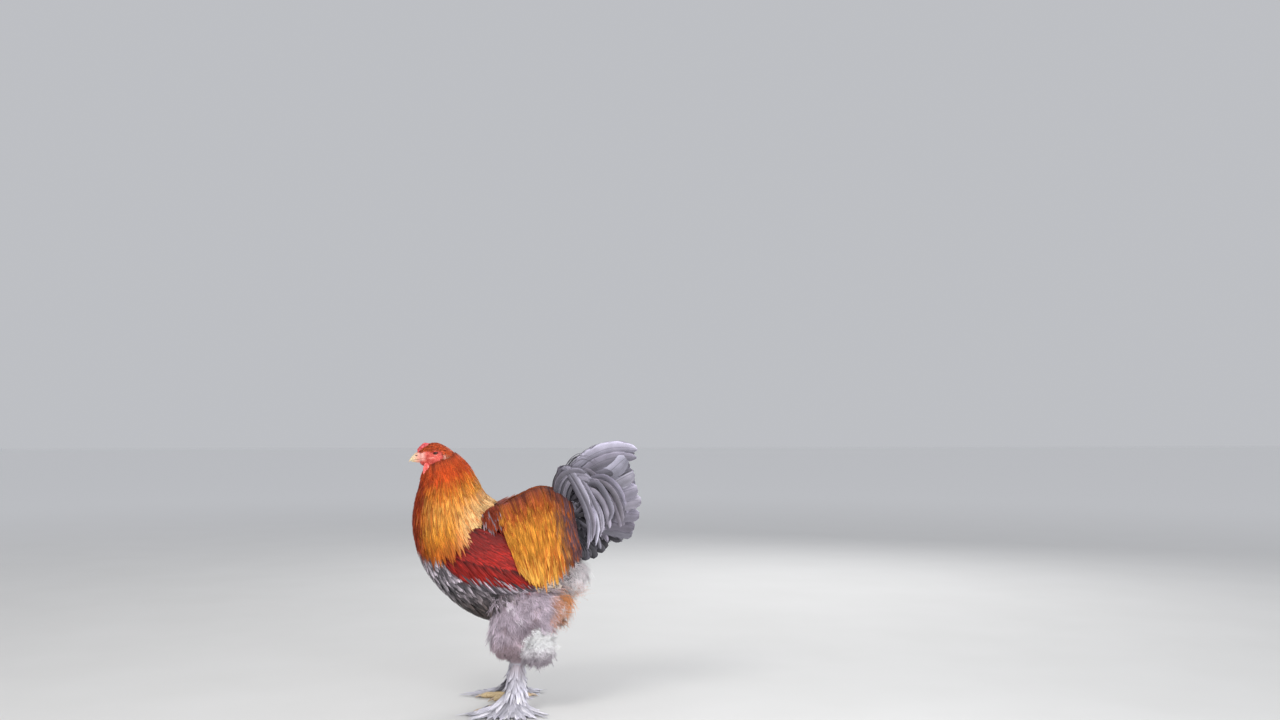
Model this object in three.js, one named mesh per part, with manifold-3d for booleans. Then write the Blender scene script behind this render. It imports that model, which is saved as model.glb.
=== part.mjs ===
// A brahma cock standing at ease, life size. Millimetres, +Z up.
// It faces -X and its left side is at -Y. The ground is at z = 0.
// Each named mesh is a part of the body that a person would point to. Parts meet face to
// face, SEAM apart, and long feathers are flat tapered vanes fused into the part they grow from.

import * as THREE from 'three';
import { mergeVertices } from 'three/addons/utils/BufferGeometryUtils.js';
import Module from 'manifold-3d';

const wasm = await Module();
wasm.setup();

// Driving dimensions
const SEAM = 0.35; // gap between two parts
const CENTRE_X = 5; // moves the bird so that the origin is under the middle of its box
const LEG_Y = 72; // each leg's distance from the middle plane
const VANE = 1.3; // thickness of a body vane
const SIDES = { left: -1, right: 1 };
const DEGREE = Math.PI / 180;

// Profiles from the side. Each row is a station, then the values there.
// Torso: x, then top, bottom and half width
const TORSO_ROWS = [
  [-262, 432, 388, 26],
  [-250, 462, 350, 50],
  [-226, 486, 310, 74],
  [-190, 500, 270, 90],
  [-145, 503, 234, 98],
  [-95, 498, 210, 101],
  [-45, 496, 200, 101],
  [5, 503, 206, 97],
  [52, 510, 230, 85],
  [90, 506, 270, 66],
  [112, 488, 318, 44],
  [122, 462, 356, 24],
];
// Cape of neck hackles: share of the way down, front x and z, rear x and z, half width, side sag
const CAPE_ROWS = [
  [-0.12, -250, 604, -193, 636, 20, 0],
  [0, -256, 588, -174, 626, 27, 0],
  [0.25, -263, 545, -141, 588, 52, 8],
  [0.5, -275, 495, -119, 548, 84, 20],
  [0.75, -277, 440, -103, 522, 107, 44],
  [1, -266, 388, -78, 504, 119, 72],
];
// Saddle of back hackles: share of the way back, ridge x and z, lean back, tip z, half width
const SADDLE_ROWS = [
  [0, -78, 502, 76, 326, 119],
  [0.33, -28, 522, 56, 303, 121],
  [0.66, 26, 545, 44, 308, 115],
  [1, 74, 541, 40, 352, 96],
];
const SADDLE_SHOULDER = 80; // how far the saddle falls before it hangs straight
const SADDLE_TURN = 0.52; // share of a saddle hackle's way that bends over the back
// Wing: x, then middle z, half height, outer y
const WING_ROWS = [
  [-206, 388, 12, 96],
  [-188, 390, 44, 106],
  [-150, 382, 68, 113],
  [-100, 373, 78, 116],
  [-50, 362, 76, 116],
  [0, 350, 62, 112],
  [40, 334, 42, 104],
  [66, 322, 22, 94],
];
const WING_DEPTH = 20;
// Thigh: z, then middle x, half length, half width
const THIGH_ROWS = [
  [304, 8, 84, 40],
  [262, 12, 100, 50],
  [228, 4, 96, 51],
  [190, -22, 72, 47],
  [156, -34, 57, 42],
  [126, -34, 42, 36],
];
const SHANK_TOP = 125.6;
const FOOT_TOP = 23;
const SHANK_X = -20;
const HOCK = { x: 30, z: 136, radii: [49, 42, 54] };
const VENT = { x: 110, z: 308, radii: [46, 64, 44] };

// Colours of the parts
const COLOUR = {
  hackle: 0xd4913e,
  saddle: 0xd9923e,
  wing: 0x8a2a22,
  slate: 0x7d7478,
  tail: 0x9594a9,
  fluff: 0xa396a0,
  pale: 0xe6e4ea,
  face: 0xbd473e,
  comb: 0xd56673,
  horn: 0xd4b587,
  toe: 0xceb9a6,
  eye: 0x24120c,
  lobe: 0xac624f,
};

// Small tools

const point = (x, y, z) => new THREE.Vector3(x, y, z);

function seeded(seed) {
  let state = seed;
  return (low, high) => {
    state = (state * 16807) % 2147483647;
    return low + (high - low) * (state / 2147483647);
  };
}

// A smooth curve through rows of [station, value, value, ...]
function through(rows) {
  const slope = (i, k) => {
    const before = rows[Math.max(i - 1, 0)];
    const after = rows[Math.min(i + 1, rows.length - 1)];
    return (after[k] - before[k]) / (after[0] - before[0]);
  };
  return (station) => {
    let i = 0;
    while (i < rows.length - 2 && station > rows[i + 1][0]) i += 1;
    const [a, b] = [rows[i], rows[i + 1]];
    const gap = b[0] - a[0];
    const s = (station - a[0]) / gap;
    const hermite = (k) =>
      a[k] * (2 * s ** 3 - 3 * s ** 2 + 1) +
      slope(i, k) * gap * (s ** 3 - 2 * s ** 2 + s) +
      b[k] * (3 * s ** 2 - 2 * s ** 3) +
      slope(i + 1, k) * gap * (s ** 3 - s ** 2);
    return a.slice(1).map((value, n) => hermite(n + 1));
  };
}

// A closed triangle mesh from points and faces, turned so that it encloses its volume outwards
function closedGeometry(points, faces) {
  let volume = 0;
  for (const [a, b, c] of faces) {
    volume += points[a].dot(points[b].clone().cross(points[c]));
  }
  const index = faces.flatMap(([a, b, c]) => (volume > 0 ? [a, b, c] : [a, c, b]));
  const geometry = new THREE.BufferGeometry();
  geometry.setAttribute(
    'position',
    new THREE.Float32BufferAttribute(points.flatMap((p) => [p.x, p.y, p.z]), 3),
  );
  geometry.setIndex(index);
  return geometry;
}

// A skin drawn over rings of points, closed at both ends
function loft(rings) {
  const size = rings[0].length;
  const points = rings.flat();
  const faces = [];
  for (let j = 0; j < rings.length - 1; j += 1) {
    for (let i = 0; i < size; i += 1) {
      const next = (i + 1) % size;
      const [a, b] = [j * size + i, j * size + next];
      faces.push([a, b, b + size], [a, b + size, a + size]);
    }
  }
  const ends = [[0, true], [(rings.length - 1) * size, false]];
  for (const [start, first] of ends) {
    const ring = points.slice(start, start + size);
    const middle = ring.reduce((sum, p) => sum.add(p), point(0, 0, 0)).divideScalar(size);
    const centre = points.push(middle) - 1;
    for (let i = 0; i < size; i += 1) {
      const [a, b] = [start + i, start + ((i + 1) % size)];
      faces.push(first ? [centre, b, a] : [centre, a, b]);
    }
  }
  return closedGeometry(points, faces);
}

// A thin strip. Each row has a top and a bottom line of points, split alike on both faces.
function strip(rows) {
  const across = rows[0].top.length;
  const points = rows.flatMap((row) => [...row.top, ...row.bottom]);
  const top = (j, i) => j * across * 2 + i;
  const bottom = (j, i) => top(j, i) + across;
  const last = rows.length - 1;
  const faces = [];
  const quad = (a, b, c, d) => faces.push([a, b, c], [a, c, d]);
  for (let j = 0; j < last; j += 1) {
    for (let i = 0; i < across - 1; i += 1) {
      quad(top(j, i), top(j, i + 1), top(j + 1, i + 1), top(j + 1, i));
      faces.push([bottom(j, i), bottom(j + 1, i + 1), bottom(j, i + 1)]);
      faces.push([bottom(j, i), bottom(j + 1, i), bottom(j + 1, i + 1)]);
    }
    quad(top(j, 0), top(j + 1, 0), bottom(j + 1, 0), bottom(j, 0));
    const edge = across - 1;
    quad(top(j, edge), bottom(j, edge), bottom(j + 1, edge), top(j + 1, edge));
  }
  for (let i = 0; i < across - 1; i += 1) {
    quad(top(0, i), bottom(0, i), bottom(0, i + 1), top(0, i + 1));
    quad(top(last, i), top(last, i + 1), bottom(last, i + 1), bottom(last, i));
  }
  return closedGeometry(points, faces);
}

function solid(geometry) {
  const bare = geometry.clone();
  bare.deleteAttribute('normal');
  bare.deleteAttribute('uv');
  const merged = mergeVertices(bare, 1e-4);
  return new wasm.Manifold(new wasm.Mesh({
    numProp: 3,
    vertProperties: Float32Array.from(merged.attributes.position.array),
    triVerts: Uint32Array.from(merged.index.array),
  }));
}

const join = (pieces) => pieces.reduce((whole, piece) => whole.add(piece));
const cut = (whole, cutters) => cutters.reduce((rest, cutter) => rest.subtract(cutter), whole);

// The largest closed surface of a solid, as a geometry
function largest(whole) {
  const bodies = whole.decompose();
  const main = bodies.reduce((best, next) => (next.volume() > best.volume() ? next : best));
  const mesh = main.getMesh();
  const geometry = new THREE.BufferGeometry();
  geometry.setAttribute('position', new THREE.Float32BufferAttribute(mesh.vertProperties, 3));
  geometry.setIndex(Array.from(mesh.triVerts));
  return geometry;
}

// A ball squeezed to three radii. Its poles lie along Z before any turn.
function ellipsoid(centre, radii, around = 10, down = 6, turn = [0, 0, 0]) {
  const ball = new THREE.SphereGeometry(1, around, down);
  ball.rotateX(Math.PI / 2);
  ball.scale(...radii);
  ball.rotateX(turn[0]).rotateY(turn[1]).rotateZ(turn[2]);
  ball.translate(centre.x, centre.y, centre.z);
  return solid(ball);
}

// An upright oval ring of points in the plane x = constant
function uprightRing(x, top, bottom, half, count, middleY = 0) {
  const [middle, height] = [(top + bottom) / 2, (top - bottom) / 2];
  return Array.from({ length: count }, (unused, i) => {
    const angle = ((i + 0.5) / count) * 2 * Math.PI;
    return point(x, middleY + half * Math.sin(angle), middle + height * Math.cos(angle));
  });
}

// A level oval ring of points in the plane z = constant
function levelRing(z, x, halfX, y, halfY, count) {
  return Array.from({ length: count }, (unused, i) => {
    const angle = ((i + 0.5) / count) * 2 * Math.PI;
    return point(x + halfX * Math.cos(angle), y + halfY * Math.sin(angle), z);
  });
}

// Feather vanes

// Width along a vane, from its root to its tip, as a share of the full width
const HACKLE_WIDTHS = through([[0, 0.55], [0.3, 1], [0.65, 0.95], [0.86, 0.6], [1, 0.2]]);
const BROAD_WIDTHS = through([[0, 0.35], [0.3, 0.8], [0.65, 1], [0.9, 0.8], [1, 0.38]]);
const HACKLE_STEPS = [0, 0.3, 0.65, 1];
const BROAD_STEPS = [0, 0.22, 0.46, 0.7, 0.9, 1];
const MAIN_STEPS = [0, 0.45, 0.82, 1];

// A vane along a path. place(t) gives its middle line and face(t) the way its face looks.
function vane({ place, face, width, widths, steps, thick = VANE, roll = 0, grow = 0 }) {
  const rows = steps.map((t) => {
    const step = 0.02;
    const ahead = place(Math.min(t + step, 1)).sub(place(Math.max(t - step, 0))).normalize();
    const out = face(t).clone();
    out.addScaledVector(ahead, -out.dot(ahead)).normalize();
    out.applyAxisAngle(ahead, roll);
    const side = ahead.clone().cross(out);
    const half = (width / 2) * widths(t)[0] + grow;
    const lift = (thick * (1 - 0.45 * t)) / 2 + grow;
    const centre = place(t);
    if (t === 0) centre.addScaledVector(ahead, -grow);
    if (t === 1) centre.addScaledVector(ahead, grow);
    const line = (up) => [-half, half].map((reach) => centre.clone()
      .addScaledVector(side, reach)
      .addScaledVector(out, up * lift));
    return { top: line(1), bottom: line(-1) };
  });
  return solid(strip(rows));
}

// A vane that lies on a surface(u, v), rooted sink below it and carried lift above it
function lyingVane(surface, inner, from, to, look) {
  const at = (t) => {
    const [u, v] = [from[0] + (to[0] - from[0]) * t, from[1] + (to[1] - from[1]) * t];
    const here = surface(u, v);
    const step = 0.01;
    const alongU = surface(u + step, v).sub(surface(u - step, v));
    const alongV = surface(u, v + step).sub(surface(u, v - step));
    const normal = alongU.cross(alongV).normalize();
    if (normal.dot(here.clone().sub(inner(here))) < 0) normal.negate();
    return { here, normal };
  };
  const height = (t) => look.lift + (look.rise ?? 0) * t - look.sink * Math.max(0, 1 - t / 0.3);
  return vane({
    ...look,
    place: (t) => {
      const { here, normal } = at(t);
      return here.addScaledVector(normal, height(t));
    },
    face: (t) => at(t).normal,
  });
}

// A tail feather. Its face looks sideways, and it stands further out towards its tip.
// It follows an arc (start angle, turn and length) or a curve through named points.
function tailVane({ root, start, turn, length, spread, through: points, side, ...look }) {
  const arc = (t) => {
    const heading = (start + (turn * t) / 2) * DEGREE;
    const bend = Math.abs((turn * t * DEGREE) / 2);
    const chord = bend > 1e-6 ? (length * t * Math.sin(bend)) / bend : length * t;
    const y = side * (root.y + spread * t ** 0.8);
    return point(root.x + chord * Math.cos(heading), y, root.z + chord * Math.sin(heading));
  };
  const curve = points && new THREE.CatmullRomCurve3(points.map((p) => point(p.x, side * p.y, p.z)));
  const place = curve ? (t) => curve.getPointAt(t) : arc;
  return vane({ place, face: () => point(0, side, 0), ...look });
}

// Torso

const torsoAt = through(TORSO_ROWS);

function torso(grow = 0) {
  const AROUND = 20;
  const first = TORSO_ROWS[0][0];
  const last = TORSO_ROWS[TORSO_ROWS.length - 1][0];
  const STATIONS = 12;
  const rings = Array.from({ length: STATIONS }, (unused, i) => {
    const share = i / (STATIONS - 1);
    const x = first + (last - first) * share;
    const [top, bottom, half] = torsoAt(x);
    const reach = grow * (2 * share - 1) * (i === 0 || i === STATIONS - 1 ? 1 : 0);
    return uprightRing(x + reach, top + grow, bottom - grow, half + grow, AROUND);
  });
  return solid(loft(rings));
}

// Wings

const wingAt = through(WING_ROWS);

function wingSurface(side) {
  return (x, v) => {
    const [middle, height, outer] = wingAt(x);
    const angle = v * Math.PI;
    const y = outer - WING_DEPTH + WING_DEPTH * Math.sin(angle);
    return point(x, side * y, middle + height * Math.cos(angle));
  };
}

function wing(side, grow = 0) {
  const draw = seeded(11);
  const AROUND = 14;
  const xs = [-206, -190, -160, -115, -65, -15, 30, 66];
  const rings = xs.map((x) => {
    const [middle, height, outer] = wingAt(x);
    const top = middle + height + grow;
    const bottom = middle - height - grow;
    const y = side * (outer - WING_DEPTH);
    return uprightRing(x, top, bottom, WING_DEPTH + grow, AROUND, y);
  });
  const core = solid(loft(rings));
  return join([core, ...wingVanes(side, grow, draw)]);
}

// Flight feathers in a stack along the lower edge, then the row of coverts over their roots
function wingVanes(side, grow, draw) {
  const inner = (p) => point(p.x, 0, p.z);
  const vanes = [];
  const FLIGHTS = 5;
  for (let i = 0; i < FLIGHTS; i += 1) {
    const tip = [84 - 3 * i + draw(-2, 2), 304 + 7 * i];
    vanes.push(lyingVane(flightSurface(side), inner, [-60, 300 + 10 * i], tip, {
      width: 18,
      widths: BROAD_WIDTHS,
      steps: [0, 0.35, 0.7, 1],
      thick: 1,
      lift: 1.5,
      sink: 5,
      roll: -side * 12 * DEGREE,
      grow,
    }));
  }
  const COVERTS = 5;
  for (let i = 0; i < COVERTS; i += 1) {
    const x = -140 + 28 * i;
    const drop = 0.2 + draw(-0.02, 0.02);
    vanes.push(lyingVane(wingSurface(side), inner, [x, 0.64], [x + 46, 0.64 + drop], {
      width: 26,
      widths: BROAD_WIDTHS,
      steps: [0, 0.45, 1],
      lift: 0.5,
      rise: 6,
      sink: 7,
      grow,
    }));
  }
  return vanes;
}

// Where the folded flight feathers lie, from a place seen from the side
function flightSurface(side) {
  return (x, z) => point(x, side * (111 - 0.09 * (x + 60) - 0.0018 * (z - 345) ** 2), z);
}

// Saddle

const saddleAt = through(SADDLE_ROWS);

function saddleSurface(side, inset = 0) {
  return (s, v) => {
    const [x, ridge, leanBack, tip, half] = saddleAt(s);
    const width = half - inset;
    const top = ridge - inset;
    const bend = Math.min(v / SADDLE_TURN, 1) * (Math.PI / 2);
    const hang = Math.max(v - SADDLE_TURN, 0) / (1 - SADDLE_TURN);
    const fall = SADDLE_SHOULDER * (1 - Math.cos(bend)) + (ridge - SADDLE_SHOULDER - tip) * hang;
    return point(x + leanBack * v ** 1.2, side * width * Math.sin(bend), top - fall);
  };
}

function saddleCore(grow) {
  const INSET = 6;
  const shares = [0.02, 0.2, 0.4, 0.6, 0.8, 1];
  const reach = [0.6, 0.45, 0.3, 0.16, 0.05];
  const rings = shares.map((s) => {
    const left = reach.map((v) => saddleSurface(SIDES.left, INSET - grow)(s, v));
    const right = reach.map((v) => saddleSurface(SIDES.right, INSET - grow)(s, v)).reverse();
    const low = right[right.length - 1];
    const floor = [-0.6, 0.6].map((share) => point(low.x, -share * low.y, low.z - 20));
    return [...left, ...right, ...floor];
  });
  return solid(loft(rings));
}

function saddle(grow = 0) {
  const draw = seeded(23);
  const tiers = [
    { root: 0.06, tip: 0.47, count: 4, width: 34, steps: [0, 0.4, 1] },
    { root: 0.3, tip: 0.76, count: 5, width: 27, steps: HACKLE_STEPS },
    { root: 0.56, tip: 1, count: 6, width: 23, steps: HACKLE_STEPS },
  ];
  const vanes = [];
  for (const side of Object.values(SIDES)) {
    const surface = saddleSurface(side);
    const inner = (p) => point(p.x, 0, 330);
    tiers.forEach((tier, rank) => {
      for (let i = 0; i < tier.count; i += 1) {
        const s = (i + 0.35 + 0.3 * (rank % 2)) / tier.count;
        const tip = tier.tip + draw(-0.035, 0.02);
        vanes.push(lyingVane(surface, inner, [s, tier.root], [s + draw(-0.02, 0.02), tip], {
          ...tier,
          widths: HACKLE_WIDTHS,
          lift: 0.4,
          rise: 6.5,
          sink: 12,
          grow,
        }));
      }
    });
  }
  return join([saddleCore(grow), ...vanes]);
}

// Neck

const capeAt = through(CAPE_ROWS);

function capeSurface(side, inset = 0) {
  return (angle, v) => {
    const [frontX, frontZ, rearX, rearZ, half, sag] = capeAt(v);
    const [middleX, middleZ] = [(frontX + rearX) / 2, (frontZ + rearZ) / 2];
    const reachX = frontX - middleX + inset;
    return point(
      middleX + reachX * Math.cos(angle),
      side * (half - inset) * Math.sin(angle),
      middleZ + (frontZ - middleZ) * Math.cos(angle) - sag * Math.sin(angle) ** 2,
    );
  };
}

function neckCore(grow) {
  const AROUND = 18;
  const levels = [[-0.1, 1], [0.1, 3], [0.3, 5], [0.5, 7], [0.68, 10], [0.85, 22], [1, 42]];
  const rings = levels.map(([v, inset]) => Array.from({ length: AROUND }, (unused, i) => {
    const angle = (i / AROUND) * 2 * Math.PI;
    return capeSurface(1, inset - grow)(angle, v);
  }));
  return solid(loft(rings));
}

function neck(grow = 0) {
  const draw = seeded(31);
  const tiers = [
    { root: 0.02, tip: 0.47, count: 5, width: 28, rise: 6, steps: [0, 0.4, 1] },
    { root: 0.3, tip: 0.76, count: 5, width: 36, rise: 6, steps: HACKLE_STEPS },
    { root: 0.57, tip: 1, count: 7, width: 37, rise: 6, steps: HACKLE_STEPS },
  ];
  const inner = (p) => point(-190, 0, p.z - 20);
  const vanes = [];
  for (const side of Object.values(SIDES)) {
    tiers.forEach((tier, rank) => {
      for (let i = 0; i < tier.count; i += 1) {
        const angle = ((i + 0.3 + 0.4 * (rank % 2)) / tier.count) * Math.PI;
        const tip = tier.tip + draw(-0.04, 0.02);
        const swing = angle + 0.1 * Math.sin(angle) + draw(-0.03, 0.03);
        vanes.push(lyingVane(capeSurface(side), inner, [angle, tier.root], [swing, tip], {
          ...tier,
          widths: HACKLE_WIDTHS,
          lift: 0.4,
          sink: 12,
          grow,
        }));
      }
    });
  }
  return join([neckCore(grow), ...vanes]);
}

// Head

// x, then top, bottom and half width
const HEAD_ROWS = [
  [-268, 630, 602, 9.5],
  [-260, 637, 594, 15],
  [-248, 645, 587, 20],
  [-235, 650.5, 582, 23.5],
  [-220, 650, 580, 25],
  [-205, 643.5, 583, 25],
  [-192, 635, 589, 21.5],
  [-182, 625, 598, 13],
];
const headAt = through(HEAD_ROWS);
const EYE = { x: -224, y: 19.6, z: 624.5, radius: 6.2 };
const MOUTH_CORNER = -245;

function head(grow = 0) {
  const AROUND = 16;
  const rings = HEAD_ROWS.map(([x]) => {
    const [top, bottom, half] = headAt(x);
    return uprightRing(x, top + grow, bottom - grow, half + grow, AROUND);
  });
  const parts = [solid(loft(rings))];
  for (const side of Object.values(SIDES)) {
    const brow = point(EYE.x - 2, side * 16.5, EYE.z + 9.5);
    parts.push(ellipsoid(brow, [15 + grow, 8.6 + grow, 4.6 + grow], 9, 5, [0, -0.16, 0]));
    const cheek = point(-222, side * 15, 607);
    parts.push(ellipsoid(cheek, [19 + grow, 9.5 + grow, 11 + grow], 9, 5));
    parts.push(...lids(side, grow));
  }
  return join(parts);
}

// Upper and lower lid, each half a ring round the eye. The upper one hangs a little lower.
function lids(side, grow) {
  return [[1, 5], [-1, 5.6]].map(([up, drop]) => {
    const rows = halfRing(up, drop, grow);
    return solid(loft(rows.map((row) => row.map((p) =>
      point(EYE.x + p.x, side * (EYE.y + 3.4 + p.z), EYE.z + p.y)))));
  });
}

// Rings of points along half an oval, seen from the side
function halfRing(up, drop, grow) {
  const STEPS = 6;
  const AROUND = 5;
  return Array.from({ length: STEPS }, (unused, j) => {
    const angle = (j / (STEPS - 1)) * Math.PI;
    const reach = EYE.radius * 1.22;
    const [x, y] = [Math.cos(angle) * reach, up * Math.sin(angle) * drop];
    const radius = 1.1 + 0.7 * Math.sin(angle) + grow;
    return Array.from({ length: AROUND }, (none, i) => {
      const turn = (i / AROUND) * 2 * Math.PI;
      const out = Math.cos(turn) * radius;
      return point(x + Math.cos(angle) * out, y + up * Math.sin(angle) * out, Math.sin(turn) * radius);
    });
  });
}

function headWithOpenings() {
  const slit = new THREE.BoxGeometry(30, 60, 1);
  slit.rotateY(-0.09);
  slit.translate(MOUTH_CORNER - 15, 0, 609.5);
  const cutters = [solid(slit)];
  for (const side of Object.values(SIDES)) {
    cutters.push(ellipsoid(point(-203, side * 26, 621), [4, 3.4, 3], 8, 5));
    cutters.push(eye(side, SEAM));
  }
  return cut(head(), cutters);
}

function eye(side, grow = 0) {
  const radius = EYE.radius + grow;
  return ellipsoid(point(EYE.x, side * EYE.y, EYE.z), [radius, radius, radius], 10, 7);
}

// Half an oval standing on a flat line, as the beak's halves are
function halfOval(x, flat, rise, half, count) {
  return Array.from({ length: count }, (unused, i) => {
    const angle = (i / (count - 1)) * Math.PI;
    return point(x, half * Math.cos(angle), flat + rise * Math.sin(angle));
  });
}

// Upper beak: x, mouth line z, rise of the ridge, half width
const UPPER_BEAK = [
  [-260, 610.6, 20, 12],
  [-269, 610.2, 18, 10],
  [-277, 609.4, 14, 7.6],
  [-284, 607.6, 9, 4.8],
  [-289, 604.6, 4.5, 2.4],
  [-291.5, 601.5, 1.6, 0.9],
];
const LOWER_BEAK = [
  [-260, 608.6, -9, 10],
  [-270, 608, -7.5, 8],
  [-278, 607, -5.5, 5.6],
  [-284, 605.6, -3, 2.6],
];

function beakHalf(rows, grow = 0) {
  const RING = 9;
  return solid(loft(rows.map(([x, flat, rise, half]) => {
    const way = Math.sign(rise);
    return halfOval(x, flat - way * grow, rise + 2 * way * grow, half + grow, RING);
  })));
}

function upperBeak() {
  const nostrils = Object.values(SIDES).map((side) =>
    ellipsoid(point(-273.5, side * 8.6, 617.5), [2.8, 2.4, 1.3], 6, 4, [0, 0.25, 0]));
  return cut(beakHalf(UPPER_BEAK), nostrils);
}

const COMB_FRONT = -264.5;
const COMB_LENGTH = 25;

// A low pea comb: three rows of small bulbs, the middle row higher
function comb(grow = 0) {
  const bulbs = [];
  const rows = [
    { y: 0, size: 4, swell: 1.4, lift: 1, count: 5 },
    { y: -6, size: 3.4, swell: 0.8, lift: 0, count: 3 },
    { y: 6, size: 3.4, swell: 0.8, lift: 0, count: 3 },
  ];
  for (const { y, size, swell, lift, count } of rows) {
    for (let i = 0; i < count; i += 1) {
      const share = i / (count - 1);
      const hump = Math.sin(share * Math.PI);
      const x = COMB_FRONT + COMB_LENGTH * share + (y ? 1 - 2 * share : 0) * 4;
      const radius = size + swell * hump + grow;
      const place = point(x, y, headAt(x)[0] + lift + 3 * hump);
      bulbs.push(ellipsoid(place, [radius, radius, radius * 1.15], 6, 4));
    }
  }
  return join(bulbs);
}

// A small wattle of two hanging folds at the side of the throat
function wattle(side, grow = 0) {
  const front = ellipsoid(point(-250, side * 17, 583), [6 + grow, 4 + grow, 13 + grow], 7, 5);
  const rear = ellipsoid(point(-243, side * 19.5, 588), [6 + grow, 3.4 + grow, 10 + grow], 7, 4);
  return join([front, rear]);
}

function earlobe(side, grow = 0) {
  const turn = [0, 0.3, 0];
  return ellipsoid(point(-200, side * 24.6, 611), [5 + grow, 3.6 + grow, 7.5 + grow], 8, 5, turn);
}

// Tail

function tailCore(grow) {
  const rump = ellipsoid(point(112, 0, 472), [50 + grow, 42 + grow, 60 + grow], 12, 8);
  const top = ellipsoid(point(88, 0, 508), [34 + grow, 33 + grow, 34 + grow], 10, 7);
  return join([rump, top]);
}

function tailVanes(side, grow, draw) {
  const vanes = [];
  const add = (look) => vanes.push(tailVane({
    side,
    widths: BROAD_WIDTHS,
    steps: BROAD_STEPS,
    thick: 1.5,
    grow,
    ...look,
  }));
  add({ root: point(94, 6, 504), start: 86, turn: -103, length: 258, spread: 10, width: 34 });
  add({ root: point(98, 12, 500), start: 74, turn: -84, length: 230, spread: 14, width: 34 });
  const MAIN_LENGTHS = [200, 181, 165, 156, 147, 140];
  MAIN_LENGTHS.forEach((length, i) => add({
    root: point(114, 14 + 3.2 * i, 474 - 3 * i),
    start: 48 - 11.4 * i + draw(-1, 1),
    turn: -12,
    length,
    spread: 14 + 3.4 * i,
    width: 42,
    steps: MAIN_STEPS,
  }));
  const ARCHED = 7;
  for (let i = 0; i < ARCHED; i += 1) {
    const share = i / (ARCHED - 1);
    const inward = 3 * i;
    const drop = draw(-5, 5);
    add({
      through: [
        point(76 + 30 * share, 36 - inward, 530 - 30 * share),
        point(90 + 66 * share, 46 - inward, 586 - 10 * share),
        point(132 + 78 * share, 62 - inward, 526 - 6 * share),
        point(157 + 80 * share, 74 - inward, 456 + drop),
        point(151 + 86 * share, 78 - inward, 392 + 16 * share + drop),
      ],
      width: 25,
      steps: [0, 0.16, 0.3, 0.6, 0.88, 1],
    });
  }
  const UNDER = 3;
  for (let i = 0; i < UNDER; i += 1) {
    add({
      root: point(122, 20 + 6 * i, 440 - 8 * i),
      start: -28 - 13 * i,
      turn: -22,
      length: 120 - 12 * i,
      spread: 16,
      width: 36,
      steps: MAIN_STEPS,
    });
  }
  return vanes;
}

function tail(grow = 0) {
  const vanes = Object.values(SIDES).flatMap((side) => tailVanes(side, grow, seeded(41)));
  return join([tailCore(grow), ...vanes]);
}

// Fluff: rounded clumps set close on a core

function clumps(centre, radii, rings, size, grow, seed) {
  const draw = seeded(seed);
  const balls = [ellipsoid(centre, radii.map((r) => r * 0.84 + grow), 9, 6)];
  rings.forEach(([tilt, count], rank) => {
    for (let i = 0; i < count; i += 1) {
      const around = ((i + 0.5 * (rank % 2)) / count) * 2 * Math.PI + draw(-0.12, 0.12);
      const way = point(
        Math.cos(around) * Math.cos(tilt),
        Math.sin(around) * Math.cos(tilt),
        Math.sin(tilt),
      );
      const radius = size * draw(0.9, 1.1);
      const place = point(...radii).sub(point(radius, radius, radius)).multiply(way).add(centre);
      balls.push(ellipsoid(place, [radius + grow, radius + grow, radius + grow], 6, 4));
    }
  });
  return join(balls);
}

function ventFluff(grow = 0) {
  return clumps(point(VENT.x, 0, VENT.z), VENT.radii, [[0.35, 5], [-0.55, 5]], 30, grow, 5);
}

function hockFluff(side, grow = 0) {
  const centre = point(HOCK.x, side * (LEG_Y + 2), HOCK.z);
  return clumps(centre, HOCK.radii, [[0.7, 3], [-0.2, 5]], 29, grow, 7);
}

// Thighs

const thighAt = through([...THIGH_ROWS].reverse());

function thigh(side, grow = 0) {
  const draw = seeded(13);
  const AROUND = 14;
  const rings = THIGH_ROWS.map(([z, x, halfX, halfY]) => {
    const end = z === THIGH_ROWS[THIGH_ROWS.length - 1][0] ? -grow : 0;
    return levelRing(z + end, x, halfX + grow - 4, side * (LEG_Y - 6), halfY + grow - 3, AROUND);
  });
  const parts = [solid(loft(rings))];
  const rows = [[238, 6], [184, 4]];
  rows.forEach(([z, count], rank) => {
    const [x, halfX, halfY] = thighAt(z);
    for (let i = 0; i < count; i += 1) {
      const around = ((i + 0.5 * (rank % 2)) / count) * 2 * Math.PI + draw(-0.1, 0.1);
      const size = (halfX * 0.34 + 12) * draw(0.94, 1.06);
      const centre = point(
        x + (halfX - size) * Math.cos(around),
        side * (LEG_Y - 6 + (halfY - size) * Math.sin(around)),
        z,
      );
      parts.push(ellipsoid(centre, [size + grow, size + grow, size * 1.15 + grow], 6, 4));
    }
  });
  return join(parts);
}

// Shanks, feathered down their outer side

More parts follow.
